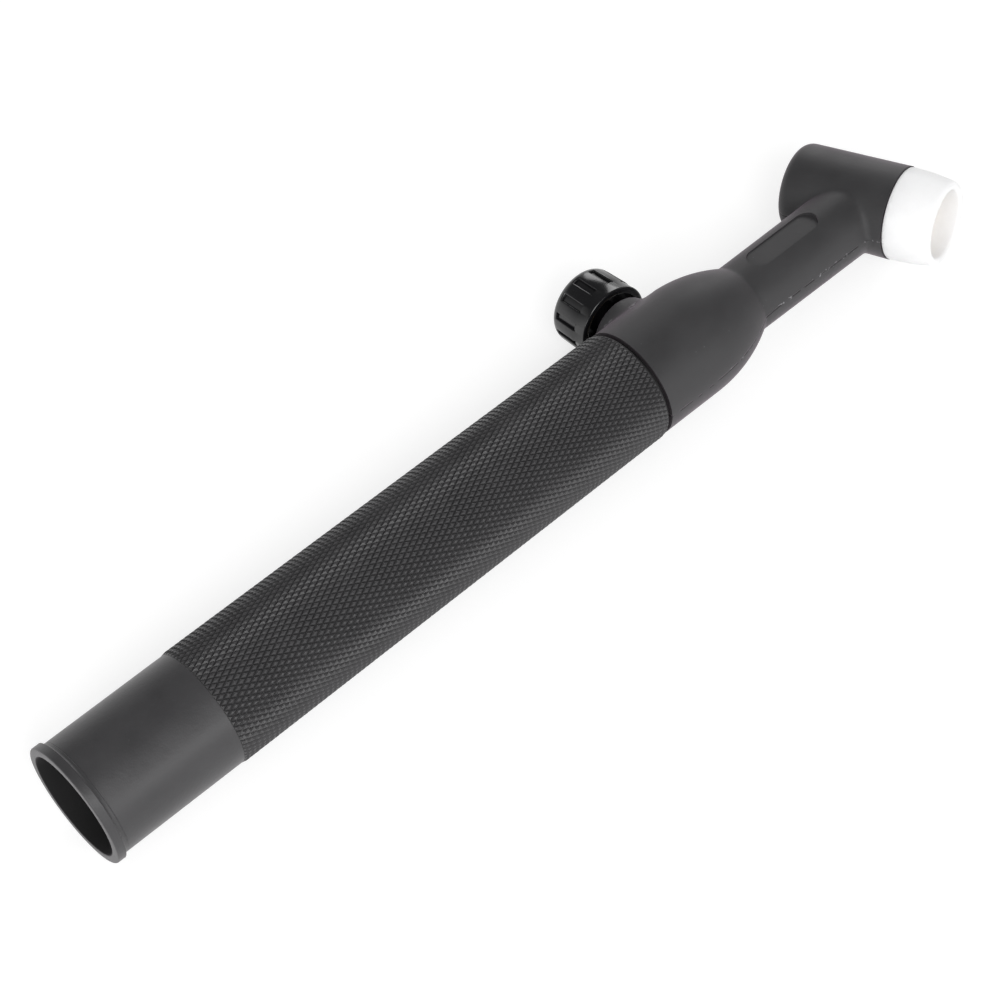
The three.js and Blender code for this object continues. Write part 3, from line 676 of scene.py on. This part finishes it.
def rubber_material(finishes, grain, jacket):
    """The jacket's rubber: matt and grained, with painted shade behind the shoulder, a mould line and
    flecks.
    """
    material, tree, shader = new_material("jacket_rubber", specular=0.45)
    set_sheen(shader, finishes, strength=2.4)
    place = place_on(tree, torch_place())
    skin = use_group(tree, grain, place, Scale=4200.0)
    along = parts_of(tree, place)["X"]
    shade_in_handle = spread(tree, along, jacket.shoulder - BLUR, jacket.shoulder + BLUR, 1.0, 0.0)
    off_line = off_mould_line(tree, place, jacket)
    line = mould_line(tree, place, off_line, jacket)
    flecks = flash_flecks(tree, place, off_line, jacket)
    base = mottled(tree, skin["Patches"], finishes.rubber, 0.92, 1.10)
    base = laid_over(tree, base, skin["Specks"], finishes.rubber, factor=5.0, strength=0.3)
    # painted shade: the spigot inside the handle darkened, where the handle keeps the light off it
    base = laid_over(tree, base, shade_in_handle, finishes.rubber, factor=0.12)
    base = laid_over(tree, base, flecks, finishes.rubber, factor=7.0)
    base = laid_over(tree, base, line, finishes.rubber, factor=0.03)
    paint(tree, shader, base, between(tree, skin["Patches"], 0.52, 0.60))
    line_depth = multiply(tree, line, 8.0)
    height = math_node(tree, "SUBTRACT", skin["Height"], line_depth)
    bump(tree, shader, height, distance=0.00003, strength=0.5)
    return material


def gloss_material(finishes, grain):
    """The knob's glossy plastic, with faint flow marks."""
    material, tree, shader = new_material("knob_gloss", specular=0.7)
    skin = use_group(tree, grain, place_on(tree), Scale=1600.0)
    base = mottled(tree, skin["Patches"], finishes.gloss, 0.85, 1.3)
    paint(tree, shader, base, between(tree, skin["Patches"], 0.17, 0.25))
    bump(tree, shader, skin["Height"], distance=0.000008, strength=0.25)
    return material


def ptfe_material(finishes, lines, jacket):
    """The gasket's white plastic, with the faint rings of the tool that turned it."""
    material, tree, shader = new_material("white_ptfe", specular=0.25)
    shader.inputs["Subsurface Weight"].default_value = 0.6
    shader.inputs["Subsurface Radius"].default_value = (1.0, 1.0, 1.0)
    shader.inputs["Subsurface Scale"].default_value = 0.003
    skin = use_group(tree, lines, place_on(tree, torch_place() @ along_head(jacket)), Pitch=5200.0)
    base = mottled(tree, skin["Tarnish"], finishes.ptfe, 1.0, 0.965)
    paint(tree, shader, base, between(tree, skin["Tarnish"], 0.36, 0.46))
    bump(tree, shader, skin["Height"], distance=0.00002, strength=0.25)
    return material


def metal_material(name, lines, turn, colour_value, dull, roughness, pitch):
    """A turned or drawn metal with tool lines round its axis and dull patches."""
    material, tree, shader = new_material(name, metallic=1.0)
    skin = use_group(tree, lines, place_on(tree, turn), Pitch=pitch)
    base = mottled(tree, skin["Tarnish"], colour_value, 1.0, dull)
    paint(tree, shader, base, between(tree, skin["Tarnish"], roughness, roughness + 0.18))
    bump(tree, shader, skin["Height"], distance=0.00002, strength=0.4)
    return material


def soft_material(name, colour_value, grain, roughness):
    """A small seal of rubber or fibre."""
    material, tree, shader = new_material(name, specular=0.4)
    skin = use_group(tree, grain, place_on(tree), Scale=3000.0)
    base = mottled(tree, skin["Patches"], colour_value, 0.85, 1.15)
    paint(tree, shader, base, between(tree, skin["Patches"], roughness, roughness + 0.1))
    bump(tree, shader, skin["Height"], distance=0.00003, strength=0.4)
    return material


# ---- Handle ----

def knurled_band(handle):
    """The knurl: a turned strip whose quads are split into diamonds, each raised to a small flat top."""
    bm = bmesh.new()
    rear_floor = handle.knurl_rear - handle.knurl_depth
    front_floor = handle.knurl_front - handle.knurl_depth
    rear = bm.verts.new((rear_floor, 0, handle.knurl_start))
    front = bm.verts.new((front_floor, 0, handle.length - handle.front_chamfer))
    bmesh.ops.subdivide_edges(bm, edges=[bm.edges.new((rear, front))], cuts=handle.row_count - 1)
    spin_round(bm, bm.verts[:] + bm.edges[:], handle.round_count)
    bm.faces.ensure_lookup_table()
    bmesh.ops.recalc_face_normals(bm, faces=bm.faces)
    first = bm.faces[0]
    middle = first.calc_center_median()
    if first.normal.dot(Vector((middle.x, middle.y, 0))) < 0:
        bmesh.ops.reverse_faces(bm, faces=bm.faces)
    across = [edge for edge in bm.edges if not edge.is_boundary]
    poked = bmesh.ops.poke(bm, faces=bm.faces, center_mode="MEAN")
    outwards = 1 / math.cos(math.pi / handle.round_count)  # from the middle of a chord to the circle
    bmesh.ops.scale(bm, vec=(outwards, outwards, 1), verts=poked["verts"])
    bmesh.ops.dissolve_edges(bm, edges=across, use_verts=False, use_face_split=False)
    diamonds = [face for face in bm.faces if len(face.verts) == 4]
    halves = [face for face in bm.faces if len(face.verts) == 3]
    half_share = 0.62  # how much of the slope and the depth the half diamonds have room for
    for faces, share in ((diamonds, 1.0), (halves, half_share)):
        bmesh.ops.inset_individual(bm, faces=faces, thickness=handle.groove, depth=0, use_even_offset=True)
        bmesh.ops.inset_individual(
            bm, faces=faces, thickness=share * handle.slope, depth=share * handle.knurl_depth,
            use_even_offset=True,
        )
    ends = [edge for edge in bm.edges if edge.is_boundary]
    split = bmesh.ops.subdivide_edges(bm, edges=ends, cuts=1)
    new_verts = [item for item in split["geom_inner"] if isinstance(item, bmesh.types.BMVert)]
    bmesh.ops.scale(bm, vec=(outwards, outwards, 1), verts=new_verts)
    return bm, rear_floor, front_floor


def make_handle(handle):
    """The knurled band, and the rest of the tube turned from one open outline that ends on it."""
    seam = 3e-6  # how far apart the ends of band and outline may lie
    line_half_width = 0.00012
    line_depth = 0.00008
    lip_edge = handle.lip_width
    line = handle.line_place
    fillet = arc(
        lip_edge + handle.lip_fillet, handle.smooth + handle.lip_fillet, handle.lip_fillet,
        start=math.pi, end=1.5 * math.pi, steps=4,
    )
    bm, rear_floor, front_floor = knurled_band(handle)
    outline = [
        (handle.length - handle.front_chamfer, front_floor),
        (handle.length, front_floor - 0.6 * handle.front_chamfer),
        (handle.length, handle.bore),
        (0, handle.bore),
        (0, handle.lip),
        (lip_edge, handle.lip),
        *fillet,
        (line - line_half_width, handle.smooth),
        (line, handle.smooth - line_depth),
        (line + line_half_width, handle.smooth),
        (handle.knurl_start, handle.smooth),
        (handle.knurl_start, rear_floor),
    ]
    lathe(bm, outline, 2 * handle.round_count, closed=False)
    bmesh.ops.remove_doubles(bm, verts=bm.verts, dist=seam)
    round_ring(bm, 0, handle.lip, offset=0.00045, segments=4)
    round_ring(bm, lip_edge, handle.lip, offset=0.00025)
    round_ring(bm, 0, handle.bore, offset=0.0003)
    round_ring(bm, handle.knurl_start, handle.smooth, offset=0.00006, segments=2)
    round_ring(bm, handle.length, handle.bore, offset=0.0002, segments=2)
    bmesh.ops.recalc_face_normals(bm, faces=bm.faces)
    return to_mesh(bm, "handle_grip")


# ---- Jacket ----

def bulb_and_neck(jacket):
    """The bulb with its dome, and the neck, on the handle's axis."""
    dome_centre = jacket.bulb - jacket.dome_curve
    dome_start = jacket.shoulder + jacket.bulb_length
    sweep = math.acos((jacket.neck - dome_centre) / jacket.dome_curve)
    dome = arc(dome_start, dome_centre, jacket.dome_curve, math.pi / 2, math.pi / 2 - sweep, steps=24)
    return turned_on(along_handle(), [
        (jacket.shoulder - BEYOND, 0),
        (jacket.shoulder - BEYOND, jacket.bulb),
        *dome,
        (jacket.head_place, jacket.neck_head),
        (jacket.head_place, 0),
    ], steps=180)


def head_cover(jacket):
    """The cover of the head, rounded at its cap end."""
    rear = -jacket.head_rear
    inner = jacket.head_rear_radius - jacket.head_round
    edge = arc(rear + jacket.head_round, inner, jacket.head_round, math.pi, math.pi / 2, steps=10)
    return turned_on(along_head(jacket), [
        (rear, 0),
        *edge,
        (jacket.head_front, jacket.head_front_radius),
        (jacket.head_front + BEYOND, jacket.head_front_radius),
        (jacket.head_front + BEYOND, 0),
    ], steps=180)


def valve_boss(jacket):
    """The boss on the bulb that the valve stands in."""
    chamfer = 0.0005
    return turned_on(along_valve(jacket), [
        (0, 0),
        (0, jacket.boss),
        (jacket.boss_top - chamfer, jacket.boss),
        (jacket.boss_top, jacket.boss - chamfer),
        (jacket.boss_top, 0),
    ], steps=120)


def neck_recess(jacket):
    """A long slab with round ends, whose floor is the recess's floor."""
    half = jacket.recess_half_width
    straight = jacket.recess_length - 2 * half
    floor = jacket.neck - jacket.recess_depth
    height = 2 * jacket.recess_depth + 0.004  # well out of the neck
    bm = bmesh.new()
    bmesh.ops.create_circle(bm, cap_ends=True, radius=half, segments=48)
    far = [vert for vert in bm.verts if vert.co.x > HAIR]
    bmesh.ops.translate(bm, vec=(straight, 0, 0), verts=far)
    raised = bmesh.ops.extrude_face_region(bm, geom=bm.faces[:])
    tops = [item for item in raised["geom"] if isinstance(item, bmesh.types.BMVert)]
    bmesh.ops.translate(bm, vec=(0, 0, height), verts=tops)
    bmesh.ops.recalc_face_normals(bm, faces=bm.faces)
    upright = Matrix.Rotation(math.pi / 2, 4, "X")
    place = Matrix.Translation((jacket.recess_start + half, -floor, 0)) @ upright
    bmesh.ops.transform(bm, matrix=place, verts=bm.verts)
    return to_mesh(bm, "neck_recess")


def plug(from_along, to_along, radius, place, steps=96):
    """A plain round bar along the local Z axis, to cut with."""
    outline = [(from_along, 0), (from_along, radius), (to_along, radius), (to_along, 0)]
    return turned_on(place, outline, steps)


def spigot(jacket):
    """The ribbed stub that the handle is pushed over."""
    ribs = 3
    root = jacket.shoulder + 0.004  # well into the bulb
    low = jacket.spigot - jacket.rib_depth
    rear = jacket.shoulder - jacket.spigot_length
    outline = [(rear, 0), (rear, jacket.spigot)]
    for i in range(ribs):
        start = rear + jacket.rib_pitch * (i + 0.5)
        end = start + jacket.rib_pitch / 2
        outline += [(start, jacket.spigot), (start, low), (end, low), (end, jacket.spigot)]
    outline += [(root, jacket.spigot), (root, 0)]
    return turned_on(along_handle(), outline, steps=128)


def near_corners(bm, jacket):
    """The skin's vertices close to where the neck meets the head, and the boss meets the bulb."""
    below_rim = jacket.boss_top - 0.0006  # the boss's own rim stays as it is
    to_head = along_head(jacket).inverted()
    to_valve = along_valve(jacket).inverted()
    neck_verts, boss_verts = [], []
    for vert in bm.verts:
        from_axis = math.hypot(vert.co.y, vert.co.z)
        if vert.co.x > jacket.recess_start + jacket.recess_length:
            local = to_head @ vert.co
            off_head = abs(math.hypot(local.x, local.y) - jacket.head_rear_radius)
            if max(off_head, abs(from_axis - jacket.neck_head)) < jacket.neck_blend:
                neck_verts.append(vert)
        elif 0 < vert.co.z < below_rim:
            local = to_valve @ vert.co
            off_boss = abs(math.hypot(local.x, local.y) - jacket.boss)
            if max(off_boss, abs(from_axis - jacket.bulb)) < jacket.boss_blend:
                boss_verts.append(vert)
    return neck_verts, boss_verts


def smooth(bm, verts, times):
    """Moves vertices halfway to the middle of their neighbours, a number of times."""
    for _ in range(times):
        bmesh.ops.smooth_vert(bm, verts=verts, factor=0.5, use_axis_x=True, use_axis_y=True, use_axis_z=True)


def moulded_skin(jacket):
    """One skin over bulb, neck, head and boss, with soft corners where they meet."""
    joined = combined(bulb_and_neck(jacket), "UNION", head_cover(jacket), valve_boss(jacket))
    skin = new_object(joined, "skin")
    remesh = skin.modifiers.new("remesh", "REMESH")
    remesh.mode = "VOXEL"
    remesh.voxel_size = jacket.voxel
    mesh = with_modifiers(skin)
    discard(skin)
    bm = bmesh.new()
    bm.from_mesh(mesh)
    bpy.data.meshes.remove(mesh)
    neck_verts, boss_verts = near_corners(bm, jacket)
    smooth(bm, boss_verts, times=130)
    smooth(bm, neck_verts, times=10)
    smooth(bm, bm.verts, times=4)
    return to_mesh(bm, "skin")


def make_jacket(jacket):
    """The skin cut flat at its rear and front, with its spigot, its recess and its openings."""
    wide = 0.02  # wider than any part of the jacket
    past = 0.01  # past the ends of the skin
    out = 0.001  # out of the face that a plug opens
    overlap = 0.0001  # of two plugs that meet
    handle_axis, head_axis, valve_axis = along_handle(), along_head(jacket), along_valve(jacket)
    spigot_rear = jacket.shoulder - jacket.spigot_length
    rear_cut = plug(jacket.shoulder - past, jacket.shoulder, wide, handle_axis)
    skin = combined(moulded_skin(jacket), "DIFFERENCE", rear_cut)
    return combined(
        combined(skin, "UNION", spigot(jacket)), "DIFFERENCE",
        neck_recess(jacket),
        plug(jacket.head_front, jacket.head_front + past, wide, head_axis),
        plug(spigot_rear - out, jacket.block_front, jacket.spigot_bore, handle_axis),
        plug(jacket.valve_place, jacket.head_place, jacket.tube_room, handle_axis, steps=32),
        plug(0, jacket.boss_top + out, jacket.tower_room, valve_axis),
        plug(-jacket.barrel_rear, jacket.head_front + out, jacket.barrel_room, head_axis),
        plug(-jacket.head_rear - out, -jacket.barrel_rear + overlap, jacket.cap_hole, head_axis),
    )


# ---- Gasket ----

def make_gasket(gasket):
    """A cup turned with an outside that curves in towards its front."""
    steps = 12
    span = gasket.front - gasket.rear
    drop = gasket.rear_radius - gasket.front_radius
    outside = []
    for i in range(steps + 1):
        share = i / steps
        outside.append((gasket.rear + span * share, gasket.rear_radius - drop * share ** gasket.taper))
    bm = turned([
        (gasket.rear, gasket.bore),
        *outside,
        (gasket.front, gasket.mouth),
        (gasket.floor, gasket.mouth),
        (gasket.floor, gasket.bore),
    ], steps=128)
    round_ring(bm, gasket.rear, gasket.rear_radius, offset=0.0003)
    round_ring(bm, gasket.front, gasket.front_radius, gasket.edge, segments=4)
    round_ring(bm, gasket.front, gasket.mouth, gasket.edge, segments=4)
    round_ring(bm, gasket.floor, gasket.mouth, offset=0.0004)
    return to_mesh(bm, "nozzle_gasket")


# ---- Knob ----

def knob_outline(knob):
    """The knob's section, with the lobes' outside as if it went all round."""
    steps = 8
    nearest = 0.05  # an angle: no two points of the rounding lie closer
    height = knob.top - knob.round_start
    edge_width = knob.lobe_end - knob.top_radius
    first = math.asin((knob.slot_end - knob.round_start) / height)
    even = [math.pi / 2 * i / steps for i in range(1, steps + 1)]
    rounding = [
        (knob.round_start + height * math.sin(turn), knob.top_radius + edge_width * math.cos(turn))
        for turn in (first, *[turn for turn in even if turn > first + nearest])
    ]
    return [
        (knob.rim, knob.skirt_bore),
        (knob.rim, knob.rim_radius),
        (knob.lobe_start, knob.waist),
        (knob.lobe_start + knob.lobe_slope, knob.lobe),
        (knob.round_start, knob.lobe_end),
        *rounding,
        (knob.top, knob.cap),
        (knob.cap_floor, knob.cap),
        (knob.cap_floor, knob.well),
        (knob.seat, knob.well),
        (knob.seat, knob.stem_bore),
        (knob.hub_start, knob.stem_bore),
        (knob.hub_start, knob.hub),
        (knob.web, knob.hub),
        (knob.web, knob.skirt_bore),
    ]


def lobe_edges(bm, knob):
    """The edges round the lobes and the slots, which are sharp enough to be bevelled."""
    sharp = math.radians(40)
    found = []
    for edge in bm.edges:
        heights = [vert.co.z for vert in edge.verts]
        radii = [math.hypot(vert.co.x, vert.co.y) for vert in edge.verts]
        in_grip = min(heights) > knob.lobe_start - HAIR and max(heights) < knob.slot_end + HAIR
        on_lobe = min(radii) > knob.waist - HAIR and max(radii) > knob.waist + HAIR
        if in_grip and on_lobe and edge.calc_face_angle(0) > sharp:
            found.append(edge)
    return found


def make_knob(knob):
    """A deep cap turned from one outline, with slots sunk between its lobes."""
    steps_in_lobe = 12
    steps_in_slot = 4
    steps = knob.lobes * steps_in_lobe
    bm = turned(knob_outline(knob), steps)

    def in_slot(face):
        middle = face.calc_center_median()
        step = math.atan2(middle.y, middle.x) % FULL_TURN / FULL_TURN * steps
        return int(step) % steps_in_lobe < steps_in_slot

    def on_lobes(face):
        middle = face.calc_center_median()
        return knob.lobe_start < middle.z < knob.slot_end and math.hypot(middle.x, middle.y) > knob.waist

    slots = [face for face in bm.faces if on_lobes(face) and in_slot(face)]
    sunk = bmesh.ops.extrude_face_region(bm, geom=slots)
    for item in sunk["geom"]:
        if isinstance(item, bmesh.types.BMVert):
            item.co.xy *= knob.slot_floor / math.hypot(item.co.x, item.co.y)
    bmesh.ops.delete(bm, geom=[face for face in slots if face.is_valid], context="FACES")
    bmesh.ops.recalc_face_normals(bm, faces=bm.faces)
    round_edges(bm, lobe_edges(bm, knob), knob.lobe_edge)
    round_ring(bm, knob.rim, knob.rim_radius, offset=0.00045, segments=4)
    round_ring(bm, knob.rim, knob.skirt_bore, offset=0.0002, segments=2)
    round_ring(bm, knob.top, knob.cap, offset=0.0002, segments=2)
    bmesh.ops.rotate(bm, cent=(0, 0, 0), matrix=Matrix.Rotation(knob.phase, 3, "Z"), verts=bm.verts)
    return to_mesh(bm, "grip_knob")


def make_knob_cap(knob):
    """The pressed-in disc over the screw: flat, with a fine groove near its edge."""
    play = 0.00005  # between the disc and the knob
    groove = 0.0002
    radius = knob.cap - play
    bm = turned([
        (knob.cap_floor + play, 0),
        (knob.cap_floor + play, radius),
        (knob.top, radius),
        (knob.top, 0.83 * knob.cap),
        (knob.top - groove, 0.80 * knob.cap),
        (knob.top - groove, 0.77 * knob.cap),
        (knob.top, 0.74 * knob.cap),
        (knob.top, 0),
    ], steps=96)
    round_ring(bm, knob.top, radius, offset=0.00025)
    return to_mesh(bm, "knob_end_cap")


# ---- Stage ----

class TORCH_OT_stage(bpy.types.Operator):
    """Makes the camera, the floor and the soft studio light."""

    bl_idname = "torch.stage"
    bl_label = "Stage"

    def execute(self, context):
        stage = context.scene.torch_stage
        finishes = context.scene.torch_finishes
        make_camera(stage)
        make_floor(finishes)
        make_sky(stage)
        make_lamps(stage)
        context.scene.view_settings.view_transform = "Standard"
        return {"FINISHED"}


def make_camera(stage):
    data = bpy.data.cameras.new("camera")
    data.lens = stage.lens
    data.sensor_width = 36
    data.clip_start = 0.01
    camera = bpy.data.objects.new("camera", data)
    camera.location = stage.camera_place
    camera.rotation_euler = stage.camera_turn
    bpy.context.scene.collection.objects.link(camera)
    bpy.context.scene.camera = camera


def seen_directly(tree):
    """1 for rays from the camera, and for those by which gloss and glass see."""
    path = tree.nodes.new("ShaderNodeLightPath").outputs
    gloss = math_node(tree, "MAXIMUM", path["Is Camera Ray"], path["Is Glossy Ray"])
    return math_node(tree, "MAXIMUM", gloss, path["Is Transmission Ray"])


def make_floor(finishes):
    """White paper, which camera and gloss see with a faint shadow, and which lights the torch from below."""
    bm = bmesh.new()
    bmesh.ops.create_grid(bm, x_segments=1, y_segments=1, size=4)
    floor = new_object(to_mesh(bm, "floor"), "floor")
    material, tree, shader = new_material("floor_paper", specular=0.1)
    glow = 0.66  # with the lamps' light it makes the paper white
    seen = seen_directly(tree)
    paper = mottled(tree, noise(tree, place_on(tree), scale=300.0), finishes.floor, 0.99, 1.01)
    unseen_paper = tint(finishes.floor, 0.5)
    tree.links.new(blend_colours(tree, seen, paper, unseen_paper), shader.inputs["Base Color"])
    shader.inputs["Roughness"].default_value = 0.9
    shader.inputs["Emission Color"].default_value = (1, 1, 1, 1)
    tree.links.new(multiply(tree, seen, glow), shader.inputs["Emission Strength"])
    floor.data.materials.append(material)


def make_sky(stage):
    """An even sky for the light, which camera and gloss see as white at the horizon and darker overhead."""
    world = bpy.data.worlds.new("studio")
    bpy.context.scene.world = world
    world.use_nodes = True
    tree = world.node_tree
    background = tree.nodes["Background"]
    direction = tree.nodes.new("ShaderNodeTexCoord").outputs["Generated"]
    horizon = 0.05  # heights of a direction of length 1
    ceiling = 0.55
    overhead = spread(tree, parts_of(tree, direction)["Z"], horizon, ceiling, 1.0, stage.zenith)
    seen = seen_directly(tree)
    unseen = math_node(tree, "SUBTRACT", 1.0, seen)
    strength = math_node(tree, "ADD", multiply(tree, seen, overhead), multiply(tree, unseen, stage.sky))
    tree.links.new(strength, background.inputs["Strength"])
    background.inputs["Color"].default_value = (1, 1, 1, 1)


def make_lamps(stage):
    """Four soft boxes, which all face the bench."""
    # name, direction round the bench and over it in degrees, power in watts
    boxes = (
        ("front_high", 245, 48, 5.1),
        ("front_low", 280, 22, 2.8),
        ("tail", 200, 22, 3.2),
        ("back", 40, 22, 2.6),
    )
    for name, round_bench, over_bench, power in boxes:
        raised = Matrix.Rotation(-math.radians(over_bench), 3, "Y")
        turn = Matrix.Rotation(math.radians(round_bench), 3, "Z") @ raised
        away = turn @ Vector((1, 0, 0))
        data = bpy.data.lights.new(name, "AREA")
        data.shape = "SQUARE"
        data.size = stage.lamp_width
        data.energy = power
        lamp = bpy.data.objects.new(name, data)
        lamp.location = Vector(BENCH_CENTRE) + stage.lamp_distance * away
        lamp.rotation_euler = away.to_track_quat("Z", "Y").to_euler()
        bpy.context.scene.collection.objects.link(lamp)


# ---- Pieces ----

class TORCH_OT_handle(bpy.types.Operator):
    """Models the handle with its lip, smooth tail and diamond knurl."""

    bl_idname = "torch.handle"
    bl_label = "Handle"

    def execute(self, context):
        scene = context.scene
        mesh = make_handle(scene.torch_handle)
        mesh.transform(torch_place() @ along_handle())
        material = nylon_material(scene.torch_finishes, grain_group(), scene.torch_handle)
        finish_piece(mesh, "handle_grip", material, "handle", ["handle"], sharp=22)
        return {"FINISHED"}


class TORCH_OT_jacket(bpy.types.Operator):
    """Models the rubber jacket as one moulding with soft corners and crisp openings."""

    bl_idname = "torch.jacket"
    bl_label = "Rubber Jacket"

    def execute(self, context):
        scene = context.scene
        mesh = make_jacket(scene.torch_jacket)
        mesh.transform(torch_place())
        material = rubber_material(scene.torch_finishes, grain_group(), scene.torch_jacket)
        finish_piece(mesh, "jacket_moulding", material, "torch_body", ["rubber_jacket"])
        return {"FINISHED"}


class TORCH_OT_gasket(bpy.types.Operator):
    """Models the white cup gasket on the head's nose."""

    bl_idname = "torch.gasket"
    bl_label = "Cup Gasket"

    def execute(self, context):
        scene = context.scene
        mesh = make_gasket(scene.torch_gasket)
        mesh.transform(torch_place() @ along_head(scene.torch_jacket))
        material = ptfe_material(scene.torch_finishes, lines_group(), scene.torch_jacket)
        finish_piece(mesh, "nozzle_gasket", material, "gasket", ["cup_gasket"])
        return {"FINISHED"}


class TORCH_OT_knob(bpy.types.Operator):
    """Models the glossy knob with its lobes, and its cap."""

    bl_idname = "torch.knob"
    bl_label = "Valve Knob"

    def execute(self, context):
        scene = context.scene
        valve_axis = torch_place() @ along_valve(scene.torch_jacket)
        material = gloss_material(scene.torch_finishes, grain_group())
        mesh = make_knob(scene.torch_knob)
        mesh.transform(valve_axis)
        finish_piece(mesh, "grip_knob", material, "knob", ["valve_knob"])
        disc = make_knob_cap(scene.torch_knob)
        disc.transform(valve_axis)
        finish_piece(disc, "knob_end_cap", material, "knob", ["knob_cap"])
        return {"FINISHED"}


class TORCH_OT_fittings(bpy.types.Operator):
    """Gives the brass, copper, steel and seals of the frame their finishes."""

    bl_idname = "torch.fittings"
    bl_label = "Fittings"

    def execute(self, context):
        scene = context.scene
        colours = scene.torch_finishes
        jacket = scene.torch_jacket
        lines, grain = lines_group(), grain_group()
        handle_axis = torch_place() @ along_handle()
        head_axis = torch_place() @ along_head(jacket)
        valve_axis = torch_place() @ along_valve(jacket)
        # colour, how much darker its dull patches are, roughness, scale of its tool lines
        brass = (colours.brass, 0.62, 0.26, 4500.0)
        copper = (colours.copper, 0.55, 0.30, 3000.0)
        zinc = (colours.zinc, 0.75, 0.28, 4500.0)
        metals = (
            ("brass_on_handle_axis", handle_axis, brass, ["cable_stud"]),
            ("brass_on_head_axis", head_axis, brass, ["head_barrel"]),
            ("brass_on_valve_axis", valve_axis, brass, ["valve_block", "valve_stem", "gland_nut"]),
            ("drawn_copper", handle_axis, copper, ["neck_tube", "tail_tube"]),
            ("zinc_steel", valve_axis, zinc, ["lock_washer", "knob_screw"]),
        )
        for name, axis, look, nodes in metals:
            put_on(metal_material(name, lines, axis, *look), nodes)
        rings = ["stem_ring_lower", "stem_ring_upper"]
        put_on(soft_material("seal_rubber", colours.seal, grain, 0.45), rings)
        put_on(soft_material("seal_fibre", colours.fibre, grain, 0.7), ["gland_washer"])
        return {"FINISHED"}


def put_on(material, nodes):
    """Gives nodes of the frame a finish in place of the one they came with."""
    for name in nodes:
        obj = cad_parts[name]
        obj.data.materials.clear()
        obj.data.materials.append(material)


class TORCH_PT_panel(bpy.types.Panel):
    """Lists the operators in the 3D view's sidebar."""

    bl_label = "Torch"
    bl_idname = "TORCH_PT_panel"
    bl_space_type = "VIEW_3D"
    bl_region_type = "UI"
    bl_category = "Torch"

    def draw(self, context):
        for operator in OPERATORS:
            self.layout.operator(operator.bl_idname)


OPERATORS = (
    TORCH_OT_stage, TORCH_OT_handle, TORCH_OT_jacket, TORCH_OT_gasket, TORCH_OT_knob, TORCH_OT_fittings,
)


def register():
    for cls in (*SETTINGS.values(), *OPERATORS, TORCH_PT_panel):
        bpy.utils.register_class(cls)
    for name, cls in SETTINGS.items():
        setattr(bpy.types.Scene, name, bpy.props.PointerProperty(type=cls))


def unregister():
    for name in SETTINGS:
        delattr(bpy.types.Scene, name)
    for cls in (TORCH_PT_panel, *reversed(OPERATORS), *SETTINGS.values()):
        bpy.utils.unregister_class(cls)


def main():
    """Models and finishes everything."""
    register()
    bpy.ops.torch.stage()
    bpy.ops.torch.handle()
    bpy.ops.torch.jacket()
    bpy.ops.torch.gasket()
    bpy.ops.torch.knob()
    bpy.ops.torch.fittings()


if __name__ == "__main__":
    main()
